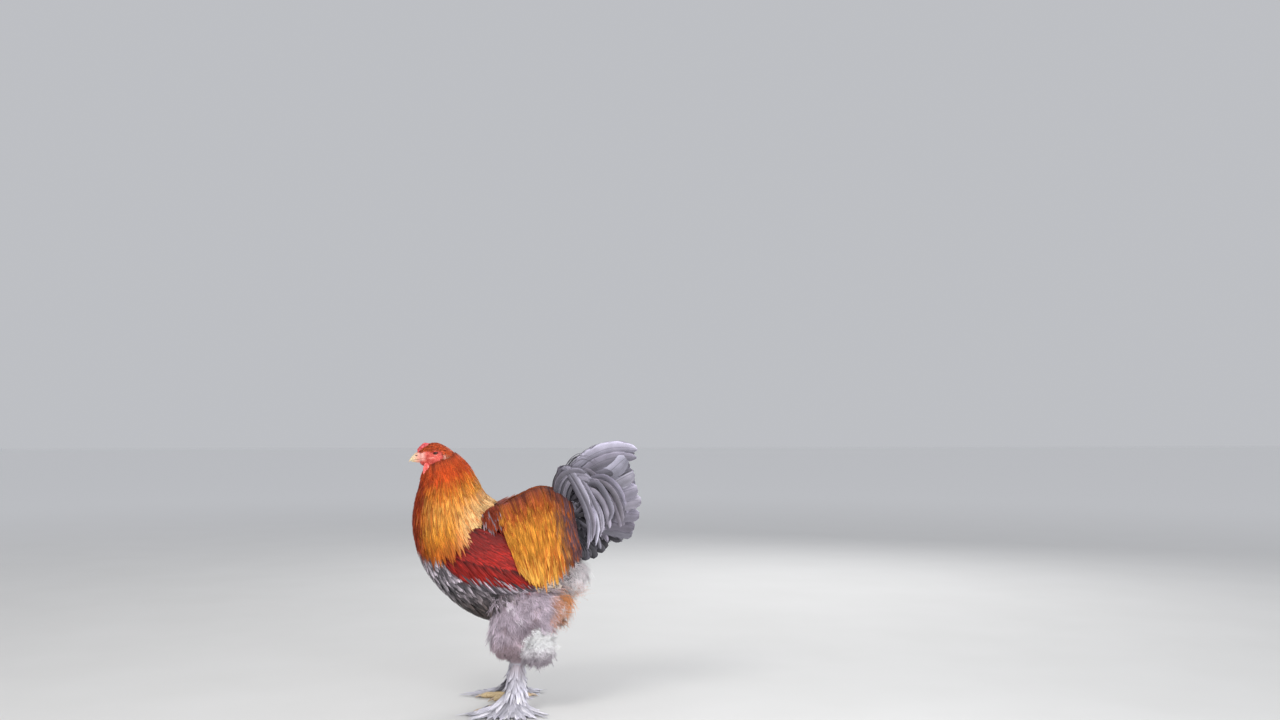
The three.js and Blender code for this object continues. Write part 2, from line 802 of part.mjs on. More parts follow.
function shank(side, grow = 0) {
  const draw = seeded(17);
  const rows = [[SHANK_TOP, 25, 22], [86, 22, 19], [50, 20, 17], [FOOT_TOP + SEAM, 23, 18]];
  const rings = rows.map(([z, halfX, halfY]) =>
    levelRing(z, SHANK_X - (SHANK_TOP - z) * 0.06, halfX + grow, side * LEG_Y, halfY + grow, 10));
  const parts = [solid(loft(rings))];
  const FEATHERS = 6;
  for (let i = 0; i < FEATHERS; i += 1) {
    const lower = i % 2;
    const around = (-60 + 48 * Math.floor(i / 2) + 24 * lower) * DEGREE;
    const top = 104 - 34 * lower;
    const way = point(-Math.sin(around), side * Math.cos(around), 0);
    const length = (lower ? 40 : 58) + draw(-3, 3);
    const start = point(SHANK_X, side * LEG_Y, top).addScaledVector(way, 13);
    const place = (t) => start.clone()
      .addScaledVector(way, 3 + 17 * t)
      .add(point(0, 0, -length * t));
    parts.push(vane({
      place,
      face: () => way.clone(),
      width: 20,
      widths: HACKLE_WIDTHS,
      steps: [0, 0.5, 1],
      grow,
    }));
  }
  return join(parts);
}

// Feet

const TOES = [
  { name: 'inner', heading: -34, length: 66, radius: 8.5 },
  { name: 'middle', heading: 4, length: 86, radius: 9.5 },
  { name: 'outer', heading: 42, length: 68, radius: 8.5 },
  { name: 'hind', heading: 172, length: 44, radius: 7.5 },
];
const FOOT_X = -26;
const CLAW_SIDES = 5;
const LEVEL_GAP = 4; // height between the layers of foot feathers

// The way a toe points. Heading 0 is forward and a positive one turns outward.
function toeWay(side, heading) {
  const angle = heading * DEGREE;
  return point(-Math.cos(angle), side * Math.sin(angle), 0);
}

// A toe as rings from the pad to its tip, flattened where it bears on the ground
function toe(side, { heading, length, radius }, grow = 0) {
  const way = toeWay(side, heading);
  const across = point(-way.y, way.x, 0);
  const AROUND = 7;
  const rows = [[0, 1.25], [0.35, 1], [0.7, 0.98], [1, 0.6]];
  const rings = rows.map(([share, swell]) => {
    const r = radius * swell + grow;
    const centre = point(FOOT_X, side * LEG_Y, radius * swell * 0.8)
      .addScaledVector(way, length * share);
    return Array.from({ length: AROUND }, (unused, i) => {
      const turn = (i / AROUND) * 2 * Math.PI;
      const spot = centre.clone().addScaledVector(across, r * Math.cos(turn));
      spot.z = Math.max(spot.z + r * Math.sin(turn), grow ? -1 : 0);
      return spot;
    });
  });
  return solid(loft(rings));
}

// Feathers that spread over the ground: a fan from the outside of the foot, then a row from
// the outer toe that points forward
function footVanes(side, grow) {
  const draw = seeded(19);
  const heel = point(FOOT_X + 4, side * (LEG_Y + 2), 0);
  const outer = TOES[2];
  const toeWayOut = toeWay(side, outer.heading);
  const roots = [];
  const FAN = 6;
  for (let i = 0; i < FAN; i += 1) {
    roots.push({ root: heel, heading: 68 + 15 * i, length: 84 - 3 * i, level: i % 3 });
  }
  const ROW = 3;
  for (let i = 0; i < ROW; i += 1) {
    const root = heel.clone().addScaledVector(toeWayOut, 24 + 20 * i);
    roots.push({ root, heading: 60 - 12 * i, length: 74 - 5 * i, level: (i + 1) % 3 });
  }
  return roots.map(({ root, heading, length, level }) => {
    const way = toeWay(side, heading + draw(-2, 2));
    const reach = length + draw(-4, 4);
    const low = 2.6 + LEVEL_GAP * level;
    const place = (t) => root.clone()
      .addScaledVector(way, 6 + reach * t)
      .setZ(low + 5 * (1 - t) ** 2);
    return vane({
      place,
      face: () => point(0, 0, 1),
      width: 29,
      widths: HACKLE_WIDTHS,
      steps: [0, 0.5, 1],
      grow,
    });
  });
}

function foot(side, grow = 0) {
  const pad = levelRing(0, FOOT_X, 17, side * LEG_Y, 15, 10);
  const top = pad.map((p) => point(p.x, p.y, FOOT_TOP + grow));
  const base = pad.map((p) => point(p.x, p.y, grow ? -1 : 0));
  const heel = solid(loft([base, top]));
  return join([heel, ...TOES.map((look) => toe(side, look, grow)), ...footVanes(side, grow)]);
}

function claw(side, { heading, length, radius }) {
  const way = toeWay(side, heading);
  const across = point(-way.y, way.x, 0);
  const rows = [[-4, 6.4, 3.4], [5, 5.8, 3], [15, 2, 0.7]];
  const rings = rows.map(([ahead, z, r]) => {
    const centre = point(FOOT_X, side * LEG_Y, z).addScaledVector(way, length + ahead);
    return Array.from({ length: CLAW_SIDES }, (unused, i) => {
      const turn = (i / CLAW_SIDES) * 2 * Math.PI;
      const spot = centre.clone().addScaledVector(across, r * Math.cos(turn));
      spot.z += r * Math.sin(turn);
      return spot;
    });
  });
  return solid(loft(rings));
}

// The parts, each cut clear of the ones before it that it meets

const bird = new THREE.Group();
bird.name = 'brahma_cock';
bird.position.x = CENTRE_X;

function add(name, whole, colour, roughness = 0.85) {
  const material = new THREE.MeshStandardMaterial({ color: colour, roughness, metalness: 0 });
  const mesh = new THREE.Mesh(largest(whole), material);
  mesh.name = name;
  bird.add(mesh);
}

const torsoCut = torso(SEAM);
const headCut = head(SEAM);
const saddleCut = saddle(SEAM);
const neckCut = neck(SEAM);
const tailCut = tail(SEAM);
const ventCut = ventFluff(SEAM);
const wingCuts = Object.values(SIDES).map((side) => wing(side, SEAM));

add('torso', torso(), COLOUR.slate);
add('head', headWithOpenings(), COLOUR.face, 0.6);
add('neck', cut(neck(), [torsoCut, headCut, ...wingCuts, saddleCut]), COLOUR.hackle);
add('saddle', cut(saddle(), [torsoCut, ...wingCuts]), COLOUR.saddle);
add('tail', cut(tail(), [torsoCut, saddleCut, ...wingCuts]), COLOUR.tail);
add('vent_fluff', cut(ventFluff(), [torsoCut, tailCut, saddleCut, ...wingCuts]), COLOUR.pale);
add('comb', cut(comb(), [headCut, beakHalf(UPPER_BEAK, SEAM)]), COLOUR.comb, 0.5);
add('beak_upper', cut(upperBeak(), [headCut]), COLOUR.horn, 0.35);
add('beak_lower', cut(beakHalf(LOWER_BEAK), [headCut, beakHalf(UPPER_BEAK, SEAM)]), COLOUR.horn, 0.35);

for (const [name, side] of Object.entries(SIDES)) {
  const thighCut = thigh(side, SEAM);
  const hockCut = hockFluff(side, SEAM);
  const footCut = foot(side, SEAM);
  add(`eye_${name}`, eye(side), COLOUR.eye, 0.1);
  add(`earlobe_${name}`, cut(earlobe(side), [headCut, neckCut]), COLOUR.lobe, 0.6);
  add(`wattle_${name}`, cut(wattle(side), [headCut, neckCut]), COLOUR.comb, 0.5);
  add(`wing_${name}`, cut(wing(side), [torsoCut]), COLOUR.wing);
  add(`thigh_${name}`, cut(thigh(side), [torsoCut, ventCut, ...wingCuts]), COLOUR.fluff);
  add(`hock_fluff_${name}`, cut(hockFluff(side), [thighCut, torsoCut]), COLOUR.pale);
  add(`shank_${name}`, cut(shank(side), [thighCut, hockCut, footCut]), COLOUR.pale);
  add(`foot_${name}`, foot(side), COLOUR.toe);
  for (const look of TOES) {
    add(`claw_${look.name}_${name}`, cut(claw(side, look), [footCut]), COLOUR.horn, 0.4);
  }
}

export default bird;
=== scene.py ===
# %% [markdown]
# # A brahma cock, life size
#
# This lesson dresses a still model of a brahma cock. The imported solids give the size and
# the place of every part. The lesson draws one skin inside them, then lays feathers over it
# the way they lie on the bird, and adds the head's details, the beak and the claws.

# %% Load the frame
import math

import bmesh
import bpy
import numpy as np
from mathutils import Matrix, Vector
from mathutils.bvhtree import BVHTree
from mathutils.kdtree import KDTree


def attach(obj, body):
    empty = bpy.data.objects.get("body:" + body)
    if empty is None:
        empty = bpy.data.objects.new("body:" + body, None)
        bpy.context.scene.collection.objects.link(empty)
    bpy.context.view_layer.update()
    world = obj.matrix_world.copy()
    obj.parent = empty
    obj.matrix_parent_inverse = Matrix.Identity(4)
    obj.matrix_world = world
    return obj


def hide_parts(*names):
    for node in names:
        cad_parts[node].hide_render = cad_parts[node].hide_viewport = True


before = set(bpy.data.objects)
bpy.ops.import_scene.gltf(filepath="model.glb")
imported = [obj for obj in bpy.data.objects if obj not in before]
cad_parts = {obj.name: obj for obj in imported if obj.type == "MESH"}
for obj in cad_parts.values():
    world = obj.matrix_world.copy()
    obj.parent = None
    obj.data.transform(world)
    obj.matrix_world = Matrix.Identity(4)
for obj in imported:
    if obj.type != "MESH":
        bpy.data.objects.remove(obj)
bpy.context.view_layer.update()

# %% [markdown]
# ## Camera, floor and light
#
# The photo looks at the bird's left side from a little above its back, and the bird stands
# low and left of the middle of the frame. Turning the camera puts it there without any lens
# shift. Large soft lamps and a pale world give the even light of a studio.

# %% Camera
FRAME_WIDTH = 1280
SENSOR = 36.0
FOCAL_PIXELS = 1183
CAMERA_BACK = 3.0
CAMERA_HEIGHT = 0.7
CAMERA_YAW = math.radians(5.57)
CAMERA_PITCH = math.radians(3.03)

camera_data = bpy.data.cameras.new("camera")
camera_data.sensor_width = SENSOR
camera_data.lens = FOCAL_PIXELS / FRAME_WIDTH * SENSOR
camera = bpy.data.objects.new("camera", camera_data)
camera.location = (0, -CAMERA_BACK, CAMERA_HEIGHT)
camera.rotation_euler = (math.pi / 2 + CAMERA_PITCH, 0, -CAMERA_YAW)
bpy.context.scene.collection.objects.link(camera)
bpy.context.scene.camera = camera
bpy.context.scene.view_settings.view_transform = "Standard"
print("lens", round(camera_data.lens, 1), "mm")

# %% Floor and lamps
FLOOR_HALF = 30.0


def object_from(name, points, faces):
    mesh = bpy.data.meshes.new(name)
    mesh.from_pydata(np.asarray(points).tolist(), [], faces)
    mesh.update()
    made = bpy.data.objects.new(name, mesh)
    bpy.context.scene.collection.objects.link(made)
    return made


corners = np.array([(-1, -1, 0), (1, -1, 0), (1, 1, 0), (-1, 1, 0)]) * FLOOR_HALF
floor = object_from("floor", corners, [(0, 1, 2, 3)])


def lamp(name, place, target, size, power, colour=(1, 1, 1)):
    data = bpy.data.lights.new(name, "AREA")
    data.size = size
    data.energy = power
    data.color = colour
    made = bpy.data.objects.new(name, data)
    made.location = place
    made.rotation_euler = (Vector(target) - Vector(place)).to_track_quat("-Z", "Y").to_euler()
    bpy.context.scene.collection.objects.link(made)


AIM = (0, 0, 0.35)
lamp("key", (-1.7, -2.4, 3.2), AIM, 1.6, 58, (1, 0.98, 0.95))
lamp("fill", (2.6, -2.6, 1.6), AIM, 2.4, 24, (0.94, 0.97, 1))
lamp("rim", (1.4, 2.6, 2.4), AIM, 1.6, 46)
lamp("low", (0.7, -1.9, 0.7), (0.05, 0, 0.17), 0.9, 22)
world = bpy.data.worlds.new("studio")
world.use_nodes = True
background = world.node_tree.nodes["Background"].inputs
background["Color"].default_value = (0.93, 0.95, 1, 1)
background["Strength"].default_value = 0.55
bpy.context.scene.world = world
print("a floor, 4 lamps and a pale world")

# %% [markdown]
# ## Named sizes
#
# The rows below are the solids' own stations, in millimetres. A smooth curve through each
# table gives the body's width and height at any place, so the skin and the feathers can
# be set on the same forms that the solids have.

# %% Stations of the body
MM = 0.001
CENTRE_X = 5
LEG_Y = 72
LEFT, RIGHT = -1, 1
# Torso: x, top, bottom, half width
TORSO_ROWS = [
    (-262, 432, 388, 26), (-250, 462, 350, 50), (-226, 486, 310, 74), (-190, 500, 270, 90),
    (-145, 503, 234, 98), (-95, 498, 210, 101), (-45, 496, 200, 101), (5, 503, 206, 97),
    (52, 510, 230, 85), (90, 506, 270, 66), (112, 488, 318, 44), (122, 462, 356, 24),
]
# Neck's cape: share of the way down, front x and z, rear x and z, half width, sag of the sides
CAPE_ROWS = [
    (-0.12, -250, 604, -193, 636, 20, 0), (0, -256, 588, -174, 626, 27, 0),
    (0.25, -263, 545, -141, 588, 52, 8), (0.5, -275, 495, -119, 548, 84, 20),
    (0.75, -277, 440, -103, 522, 107, 44), (1, -266, 388, -78, 504, 119, 72),
]
# Saddle: share of the way back, x, top of the ridge, backward lean, lowest tip, half width
SADDLE_ROWS = [
    (0, -78, 502, 76, 326, 119), (0.33, -28, 522, 56, 303, 121),
    (0.66, 26, 545, 44, 308, 115), (1, 74, 541, 40, 352, 96),
]
# How far the saddle falls in its turn over the back, and the share of its drop where that ends
SADDLE_SHOULDER = 80
SADDLE_TURN = 0.52
# Folded wing: x, middle height, half height, outermost y
WING_ROWS = [
    (-206, 388, 12, 96), (-188, 390, 44, 106), (-150, 382, 68, 113), (-100, 373, 78, 116),
    (-50, 362, 76, 116), (0, 350, 62, 112), (40, 334, 42, 104), (66, 322, 22, 94),
]
WING_DEPTH = 20
# Thigh: z, middle x, half length, half width
THIGH_ROWS = [
    (304, 8, 84, 40), (262, 12, 100, 50), (228, 4, 96, 51), (190, -22, 72, 47),
    (156, -34, 57, 42), (126, -34, 42, 36),
]
# Head: x, top, bottom, half width
HEAD_ROWS = [
    (-268, 630, 602, 9.5), (-260, 637, 594, 15), (-248, 645, 587, 20), (-235, 650.5, 582, 23.5),
    (-220, 650, 580, 25), (-205, 643.5, 583, 25), (-192, 635, 589, 21.5), (-182, 625, 598, 13),
]
HOCK_CENTRE, HOCK_RADII = (30, 74, 136), (49, 42, 54)
VENT_CENTRE, VENT_RADII = (110, 0, 308), (46, 64, 44)
# Toes: angle from straight ahead in degrees, length, radius
TOES = [(-34, 66, 8.5), (4, 86, 9.5), (42, 68, 8.5), (172, 44, 7.5)]
FOOT_X = -26
# Eye: x, y, z, radius of the ball
EYE = (-224, 19.6, 624.5, 6.2)


def smooth(rows):
    """A smooth curve through rows of (station, value, value, ...)."""
    rows = np.array(sorted(rows), float)
    at, values = rows[:, 0], rows[:, 1:]
    slope = np.empty_like(values)
    for i in range(len(at)):
        a, b = max(i - 1, 0), min(i + 1, len(at) - 1)
        slope[i] = (values[b] - values[a]) / (at[b] - at[a])

    def curve(station):
        station = np.asarray(station, float)
        i = np.clip(np.searchsorted(at, station, side="right") - 1, 0, len(at) - 2)
        gap = (at[i + 1] - at[i])[..., None]
        s = (station - at[i])[..., None] / gap
        ends = values[i] * (2 * s**3 - 3 * s**2 + 1) + values[i + 1] * (3 * s**2 - 2 * s**3)
        turns = slope[i] * (s**3 - 2 * s**2 + s) + slope[i + 1] * (s**3 - s**2)
        return ends + turns * gap

    return curve


torso_at, cape_at, saddle_at = smooth(TORSO_ROWS), smooth(CAPE_ROWS), smooth(SADDLE_ROWS)
wing_at, thigh_at, head_at = smooth(WING_ROWS), smooth(THIGH_ROWS), smooth(HEAD_ROWS)


def stack(x, y, z):
    return np.stack(np.broadcast_arrays(x, y, z), axis=-1)


def metres(points):
    """Millimetres of the solids' own source to metres of the frame."""
    return (np.asarray(points, float) + (CENTRE_X, 0, 0)) * MM


def millimetres(places):
    """The x, y and z of places in metres, in the millimetres of the solids' own source."""
    return (places / MM - (CENTRE_X, 0, 0)).T


def shank_x(height):
    """The shank leans a little towards the toes."""
    return -20 - (126 - height) * 0.06


print("curves through 6 tables, from", TORSO_ROWS[0][0], "to", TORSO_ROWS[-1][0], "mm along the body")

# %% [markdown]
# ## Surfaces of the long plumage
#
# The neck's cape and the saddle hang clear of the body, so each is a surface of its own:
# a place on it is given by how far round and how far down. The folded wing is another.

# %% Cape, saddle and wing surfaces
def cape_surface(angle, v, inset=0.0):
    """Angle runs from the front, 0, round to the back, pi. A side of -1 mirrors y."""
    front_x, front_z, rear_x, rear_z, half, sag = np.moveaxis(cape_at(v), -1, 0)
    middle_x, middle_z = (front_x + rear_x) / 2, (front_z + rear_z) / 2
    x = middle_x + (front_x - middle_x + inset) * np.cos(angle)
    z = middle_z + (front_z - middle_z) * np.cos(angle) - sag * np.sin(angle) ** 2
    return stack(x, (half - inset) * np.sin(angle), z)


def saddle_surface(s, v, inset=0.0, table=None):
    x, ridge, lean, tip, half = np.moveaxis((table or saddle_at)(s), -1, 0)
    bend = np.clip(v / SADDLE_TURN, 0, 1) * (math.pi / 2)
    hang = np.maximum(v - SADDLE_TURN, 0) / (1 - SADDLE_TURN)
    fall = SADDLE_SHOULDER * (1 - np.cos(bend)) + (ridge - SADDLE_SHOULDER - tip) * hang
    return stack(x + lean * np.maximum(v, 0) ** 1.2, (half - inset) * np.sin(bend), ridge - inset - fall)


def wing_surface(x, v, inset=0.0):
    middle, height, outer = np.moveaxis(wing_at(x), -1, 0)
    angle = v * math.pi
    y = outer - WING_DEPTH + (WING_DEPTH - inset) * np.sin(angle)
    return stack(x, y, middle + (height - inset) * np.cos(angle))


def mirrored(points, side):
    return points * (1, side, 1)


print("the cape's lowest place in front", cape_surface(0.0, 1.0).round(1))

# %% [markdown]
# ## One skin
#
# A real bird has one skin from crown to toes. Here rough closed shapes are drawn for the
# trunk, neck, head, wings, legs and toes, each inside the solids by the depth of its coat.
# A voxel remesh fuses them into one closed surface without seams, and smoothing rounds
# the creases between them. This is quicker and safer than joining the pieces by hand.

# %% Closed shapes for the skin
LABELS = ["torso", "head", "neck", "saddle", "tail", "vent", "wing", "thigh", "hock", "shank", "toe"]
COAT_DEPTH = {"torso": 11, "head": 1.6, "wing": 6, "thigh": 13, "hock": 15, "vent": 13}
LIFT = 10
# Cape: share of the way down and depth of the coat there
NECK_LEVELS = [(-0.1, 4), (0.1, 7), (0.3, 10), (0.5, 12), (0.68, 16), (0.85, 28), (1, 48)]
# Shank: height and radius
SHANK_LEVELS = [(150, 20), (120, 15), (86, 12.5), (50, 12), (22, 13), (8, 14)]
# Toe: share of its length and how much it swells
TOE_SWELL = [(0, 1.2), (0.2, 1.05), (0.35, 0.98), (0.5, 1.04), (0.62, 0.94),
             (0.76, 1.0), (0.88, 0.86), (0.97, 0.72), (1.0, 0.5)]
shapes = []


def turns(count):
    return np.arange(count) / count * 2 * math.pi


def tube(rings, ends=None, flip=False):
    """Points and faces of a closed tube over rings of points, an array (ring, point, xyz)."""
    rings = np.asarray(rings, float)
    size, last = rings.shape[1], (len(rings) - 1) * rings.shape[1]
    if ends is None:
        ends = [rings[0].mean(0), rings[-1].mean(0)]
    points = np.concatenate([rings.reshape(-1, 3), ends])
    i = np.arange(size)
    j = (i + 1) % size
    faces = []
    for a in range(0, last, size):
        faces += np.stack([a + i, a + j, a + size + j, a + size + i], 1).tolist()
    faces += np.stack([np.full(size, last + size), j, i], 1).tolist()
    faces += np.stack([np.full(size, last + size + 1), last + i, last + j], 1).tolist()
    return points, [face[:1] + face[:0:-1] for face in faces] if flip else faces


def add_rings(label, rings):
    points, faces = tube(rings)
    shapes.append((label, metres(points), faces))


def ball_rings(centre, radii, around, tilt):
    """Rings of a ball, at angles from its top."""
    turn, tilt = turns(around), tilt[:, None]
    return stack(np.sin(tilt) * np.cos(turn), np.sin(tilt) * np.sin(turn), np.cos(tilt)) * radii + centre


def add_ball(label, centre, radii):
    add_rings(label, ball_rings(centre, radii, 28, np.linspace(0.03, math.pi - 0.03, 16)))


def upright(rows_at, stations, inset):
    """Upright rings along the bird, inside a form by the depth of its coat."""
    turn = turns(44)
    top, bottom, half = (rows_at(stations) + (-inset, inset, -inset)).T[..., None]
    z = (top + bottom) / 2 + (top - bottom) / 2 * np.cos(turn)
    return stack(stations[:, None], np.maximum(half, 2) * np.sin(turn), z)


def level_way(angle, side):
    """The way over the ground at an angle from straight ahead, outward on each side."""
    return np.array([-math.cos(angle), side * math.sin(angle), 0])


def toe_rings(side, heading, count, rows):
    """Rings across a toe, for rows of how far along, height, half width and half height."""
    way = level_way(math.radians(heading), side)
    across = np.array([-way[1], way[0], 0])
    turn = turns(count)
    rings = []
    for along, z, wide, tall in rows:
        ring = np.array([FOOT_X, side * LEG_Y, z]) + way * along + across * (wide * np.cos(turn))[:, None]
        ring[:, 2] += tall * np.sin(turn)
        rings.append(ring)
    return np.array(rings)


add_rings("torso", upright(torso_at, np.linspace(-252, 114, 40), COAT_DEPTH["torso"]))
add_rings("head", upright(head_at, np.linspace(-266, -184, 34), COAT_DEPTH["head"]))
add_rings("neck", [cape_surface(turns(48), np.full(48, v), inset) for v, inset in NECK_LEVELS])
rings = []
for s in np.linspace(0.02, 1, 8):
    near = saddle_surface(np.full(5, s), np.array([0.6, 0.45, 0.3, 0.16, 0.05]), 11.0)
    under = [(near[0, 0], share * near[0, 1], near[0, 2] - 20) for share in (-0.6, 0.6)]
    rings.append(np.concatenate([near, mirrored(near[::-1], -1), under]))
add_rings("saddle", rings)
add_ball("tail", (112, 0, 472), (42, 33, 52))
add_ball("tail", (88, 0, 508), (27, 25, 27))
add_ball("vent", np.array(VENT_CENTRE) + (0, 0, LIFT), np.array(VENT_RADII) - COAT_DEPTH["vent"])
for side in (LEFT, RIGHT):
    stations = np.linspace(-200, 60, 24)
    middle, high, outer = wing_at(stations).T[..., None]
    turn, inset = turns(32), COAT_DEPTH["wing"]
    y = side * (outer - WING_DEPTH + (WING_DEPTH - inset) * np.sin(turn))
    add_rings("wing", stack(stations[:, None], y, middle + np.maximum(high - inset, 4) * np.cos(turn)))
    heights = np.linspace(290, 132, 22)
    middle, long, wide = thigh_at(heights).T[..., None]
    turn, inset = turns(36), COAT_DEPTH["thigh"]
    y = side * (LEG_Y - 6) + (wide - inset) * np.sin(turn)
    add_rings("thigh", stack(middle + (long - inset) * np.cos(turn), y, heights[:, None]))
    centre = np.array(HOCK_CENTRE) * (1, side, 1) + (0, 0, LIFT)
    add_ball("hock", centre, np.array(HOCK_RADII) - COAT_DEPTH["hock"])
    heights, radii = np.array(SHANK_LEVELS).T[..., None]
    turn = turns(24)
    y = side * LEG_Y + radii * np.sin(turn)
    add_rings("shank", stack(shank_x(heights) + radii * np.cos(turn), y, heights))
    for heading, length, radius in TOES:
        swell = [(length * share, radius * swell * 0.92) for share, swell in TOE_SWELL]
        rings = toe_rings(side, heading, 20, [(along, r * 0.9, r, r) for along, r in swell])
        rings[..., 2] = np.maximum(rings[..., 2], 0.6)
        add_rings("toe", rings)
print(len(shapes), "shapes for the skin")

# %% Fuse the shapes into one skin
VOXEL = 0.0036


def joined(parts):
    """One array of points and one list of faces from several of both."""
    faces, start = [], 0
    for points, part_faces in parts:
        faces += [[start + i for i in face] for face in part_faces]
        start += len(points)
    return np.concatenate([points for points, _ in parts]), faces


def evaluated(made):
    """Gives the object its mesh with the modifiers applied."""
    graph = bpy.context.evaluated_depsgraph_get()
    mesh = bpy.data.meshes.new_from_object(made.evaluated_get(graph))
    made.modifiers.clear()
    old = made.data
    made.data = mesh
    bpy.data.meshes.remove(old)


def turn_outward(made):
    bm = bmesh.new()
    bm.from_mesh(made.data)
    bmesh.ops.recalc_face_normals(bm, faces=bm.faces)
    bm.to_mesh(made.data)
    bm.free()


def fuse(made, voxel):
    """Makes one closed surface of shapes that overlap."""
    remesh = made.modifiers.new("fuse", "REMESH")
    remesh.mode = "VOXEL"
    remesh.voxel_size = voxel
    remesh.adaptivity = 0
    evaluated(made)


points, faces = joined([shape[1:] for shape in shapes])
labels = np.concatenate([np.full(len(part), LABELS.index(label)) for label, part, _ in shapes])
skin = object_from("skin", points, faces)
turn_outward(skin)
fuse(skin, VOXEL)
print("skin", len(skin.data.vertices), "points after fusing")

# %% Smooth the skin and name its regions
def read(data, name, width, kind=float):
    values = np.empty(len(data) * width, kind)
    data.foreach_get(name, values)
    return values.reshape(-1, width) if width > 1 else values


def neighbours_mean(values, edges, count):
    """The mean of each point's neighbours."""
    a, b = edges[:, 0], edges[:, 1]
    degree = np.maximum(np.bincount(edges.ravel(), minlength=count), 1)
    out = np.empty_like(values)
    for k in range(values.shape[1]):
        total = np.bincount(a, values[b, k], count) + np.bincount(b, values[a, k], count)
        out[:, k] = total / degree
    return out


def softened(values, edges, steps, rate):
    """Values moved a few times towards the mean of their neighbours."""
    for _ in range(steps):
        values = values + (neighbours_mean(values, edges, len(values)) - values) * rate
    return values


def tree_of(places):
    tree = KDTree(len(places))
    for i, place in enumerate(places.tolist()):
        tree.insert(place, i)
    tree.balance()
    return tree


shape_tree = tree_of(points)


def region_of(places):
    """The label of the shape that lies nearest to each place."""
    return labels[[shape_tree.find(p)[1] for p in places.tolist()]]


skin_points = read(skin.data.vertices, "co", 3)
skin_edges = read(skin.data.edges, "vertices", 2, np.int32)
skin_region = region_of(skin_points)
SOFTEN = {"head": 3, "toe": 2, "shank": 4}
for step in range(12):
    mean = neighbours_mean(skin_points, skin_edges, len(skin_points))
    rate = np.full(len(skin_points), 0.5)
    for name, limit in SOFTEN.items():
        if step >= limit:
            rate[skin_region == LABELS.index(name)] = 0
    skin_points += (mean - skin_points) * rate[:, None]
skin_points[:, 2] = np.maximum(skin_points[:, 2], 0.0004)
skin.data.vertices.foreach_set("co", skin_points.ravel())
skin.data.update()
print("region counts", {name: int((skin_region == i).sum()) for i, name in enumerate(LABELS)})

# %% [markdown]
# ## The face in the skin
#
# The head needs finer faces than the body, so its faces are cut into nine before its folds
# are raised: a heavy brow, two lids round each eye, the corner of the mouth and the ear.

# %% Cut the head finer
def cut_finer(chosen, cuts):
    """Cuts the skin's faces whose middle is chosen into smaller ones."""
    bm = bmesh.new()
    bm.from_mesh(skin.data)
    edges = list({e for f in bm.faces if chosen(f.calc_center_median()) for e in f.edges})
    bmesh.ops.subdivide_edges(bm, edges=edges, cuts=cuts, use_grid_fill=True)
    bmesh.ops.triangulate(bm, faces=[f for f in bm.faces if len(f.verts) > 4])
    bm.to_mesh(skin.data)
    bm.free()


FACE_FLOOR = 0.575
EYE_X, EYE_Z = (EYE[0] + CENTRE_X) * MM, EYE[2] * MM
cut_finer(lambda c: c.z > FACE_FLOOR + 0.003 and c.x < -0.172, 2)
cut_finer(lambda c: math.hypot(c.x - EYE_X, c.z - EYE_Z) < 0.0125 and abs(c.y) > 0.012, 2)
skin_points = read(skin.data.vertices, "co", 3)
skin_edges = read(skin.data.edges, "vertices", 2, np.int32)
skin_region = region_of(skin_points)
print("skin", len(skin.data.polygons), "faces with a finer head")

# %% Raise the folds of the face
def bump(distance, width):
    """A smooth rise of 1 at no distance that is gone at the width."""
    return np.clip(1 - (distance / width) ** 2, 0, 1) ** 2


def head_folds(p):
    """How far each head point moves along its normal, in millimetres."""
    x, y, z = millimetres(p)
    across, up = x - EYE[0], z - EYE[2]
    side = np.abs(y) > 8
    oval = np.hypot(across / 9.4, (up + 1.0) / 8.2)
    pouch = 1.1 * bump(oval - 1.0, 0.2) * (up < 2) - 0.6 * bump(oval - 0.82, 0.14) * (up < 1)
    brow = 4.2 * bump(np.hypot((across + 1.5) / 15.5, (up - 7.4 - 0.14 * across) / 4.6), 1.0)
    cheek = 1.6 * bump(np.hypot((x + 224) / 17, (z - 607) / 9.5), 1.0)
    jowl = 1.0 * bump(np.hypot((x + 240) / 11, (z - 598) / 6), 1.0)
    corner = 1.1 * bump(np.hypot(x + 245, z - 611), 4.0)
    ear = -2.4 * bump(np.hypot((x + 203) / 4, (z - 621) / 3.2), 1.0)
    mouth = np.abs(z - 609.9 - 0.05 * (x + 260))
    slit = -2.0 * bump(mouth, 1.2) * np.clip((-245 - x) / 4, 0, 1)
    lip = 0.8 * bump(mouth - 2.0, 1.5) * np.clip((-242 - x) / 5, 0, 1)
    collar = 1.2 * bump(x + 259.5, 5.0) * (mouth > 1.0)
    return np.where(side, pouch + brow + cheek + jowl + corner + ear, 0) + slit + lip + collar


LID_RADIUS = 6.8
SLIT_LENGTH, SLIT_ABOVE, SLIT_BELOW = 6.3, 2.7, 3.2


def draw_lids(p):
    """Lays the skin over each eyeball as two lids, opens an almond slit between them and gives where shade is
    painted along the slit's edge.
    """
    x, y, z = millimetres(p)
    across, up = x - EYE[0], z - EYE[2]
    gap = np.hypot(across, up)
    near = (gap < 9) & (np.abs(y) > 12)
    tilted = up - 0.10 * across
    tall = np.where(tilted > 0, SLIT_ABOVE, SLIT_BELOW)
    edge = np.abs(tilted) - tall * (1 - (across / SLIT_LENGTH) ** 2)
    ball = np.sqrt(np.maximum(LID_RADIUS**2 - gap**2, 0))
    lid = EYE[1] + ball + 0.55 * bump(edge - 0.5, 0.9)
    depth = np.abs(y)
    depth = np.where(near & (gap < LID_RADIUS), np.maximum(depth, lid), depth)
    depth = np.where(near & (edge < 0), EYE[1] + 1.5, depth)
    return np.sign(y) * depth * MM, np.where(near, bump(np.maximum(edge, 0), 1.1), 0)


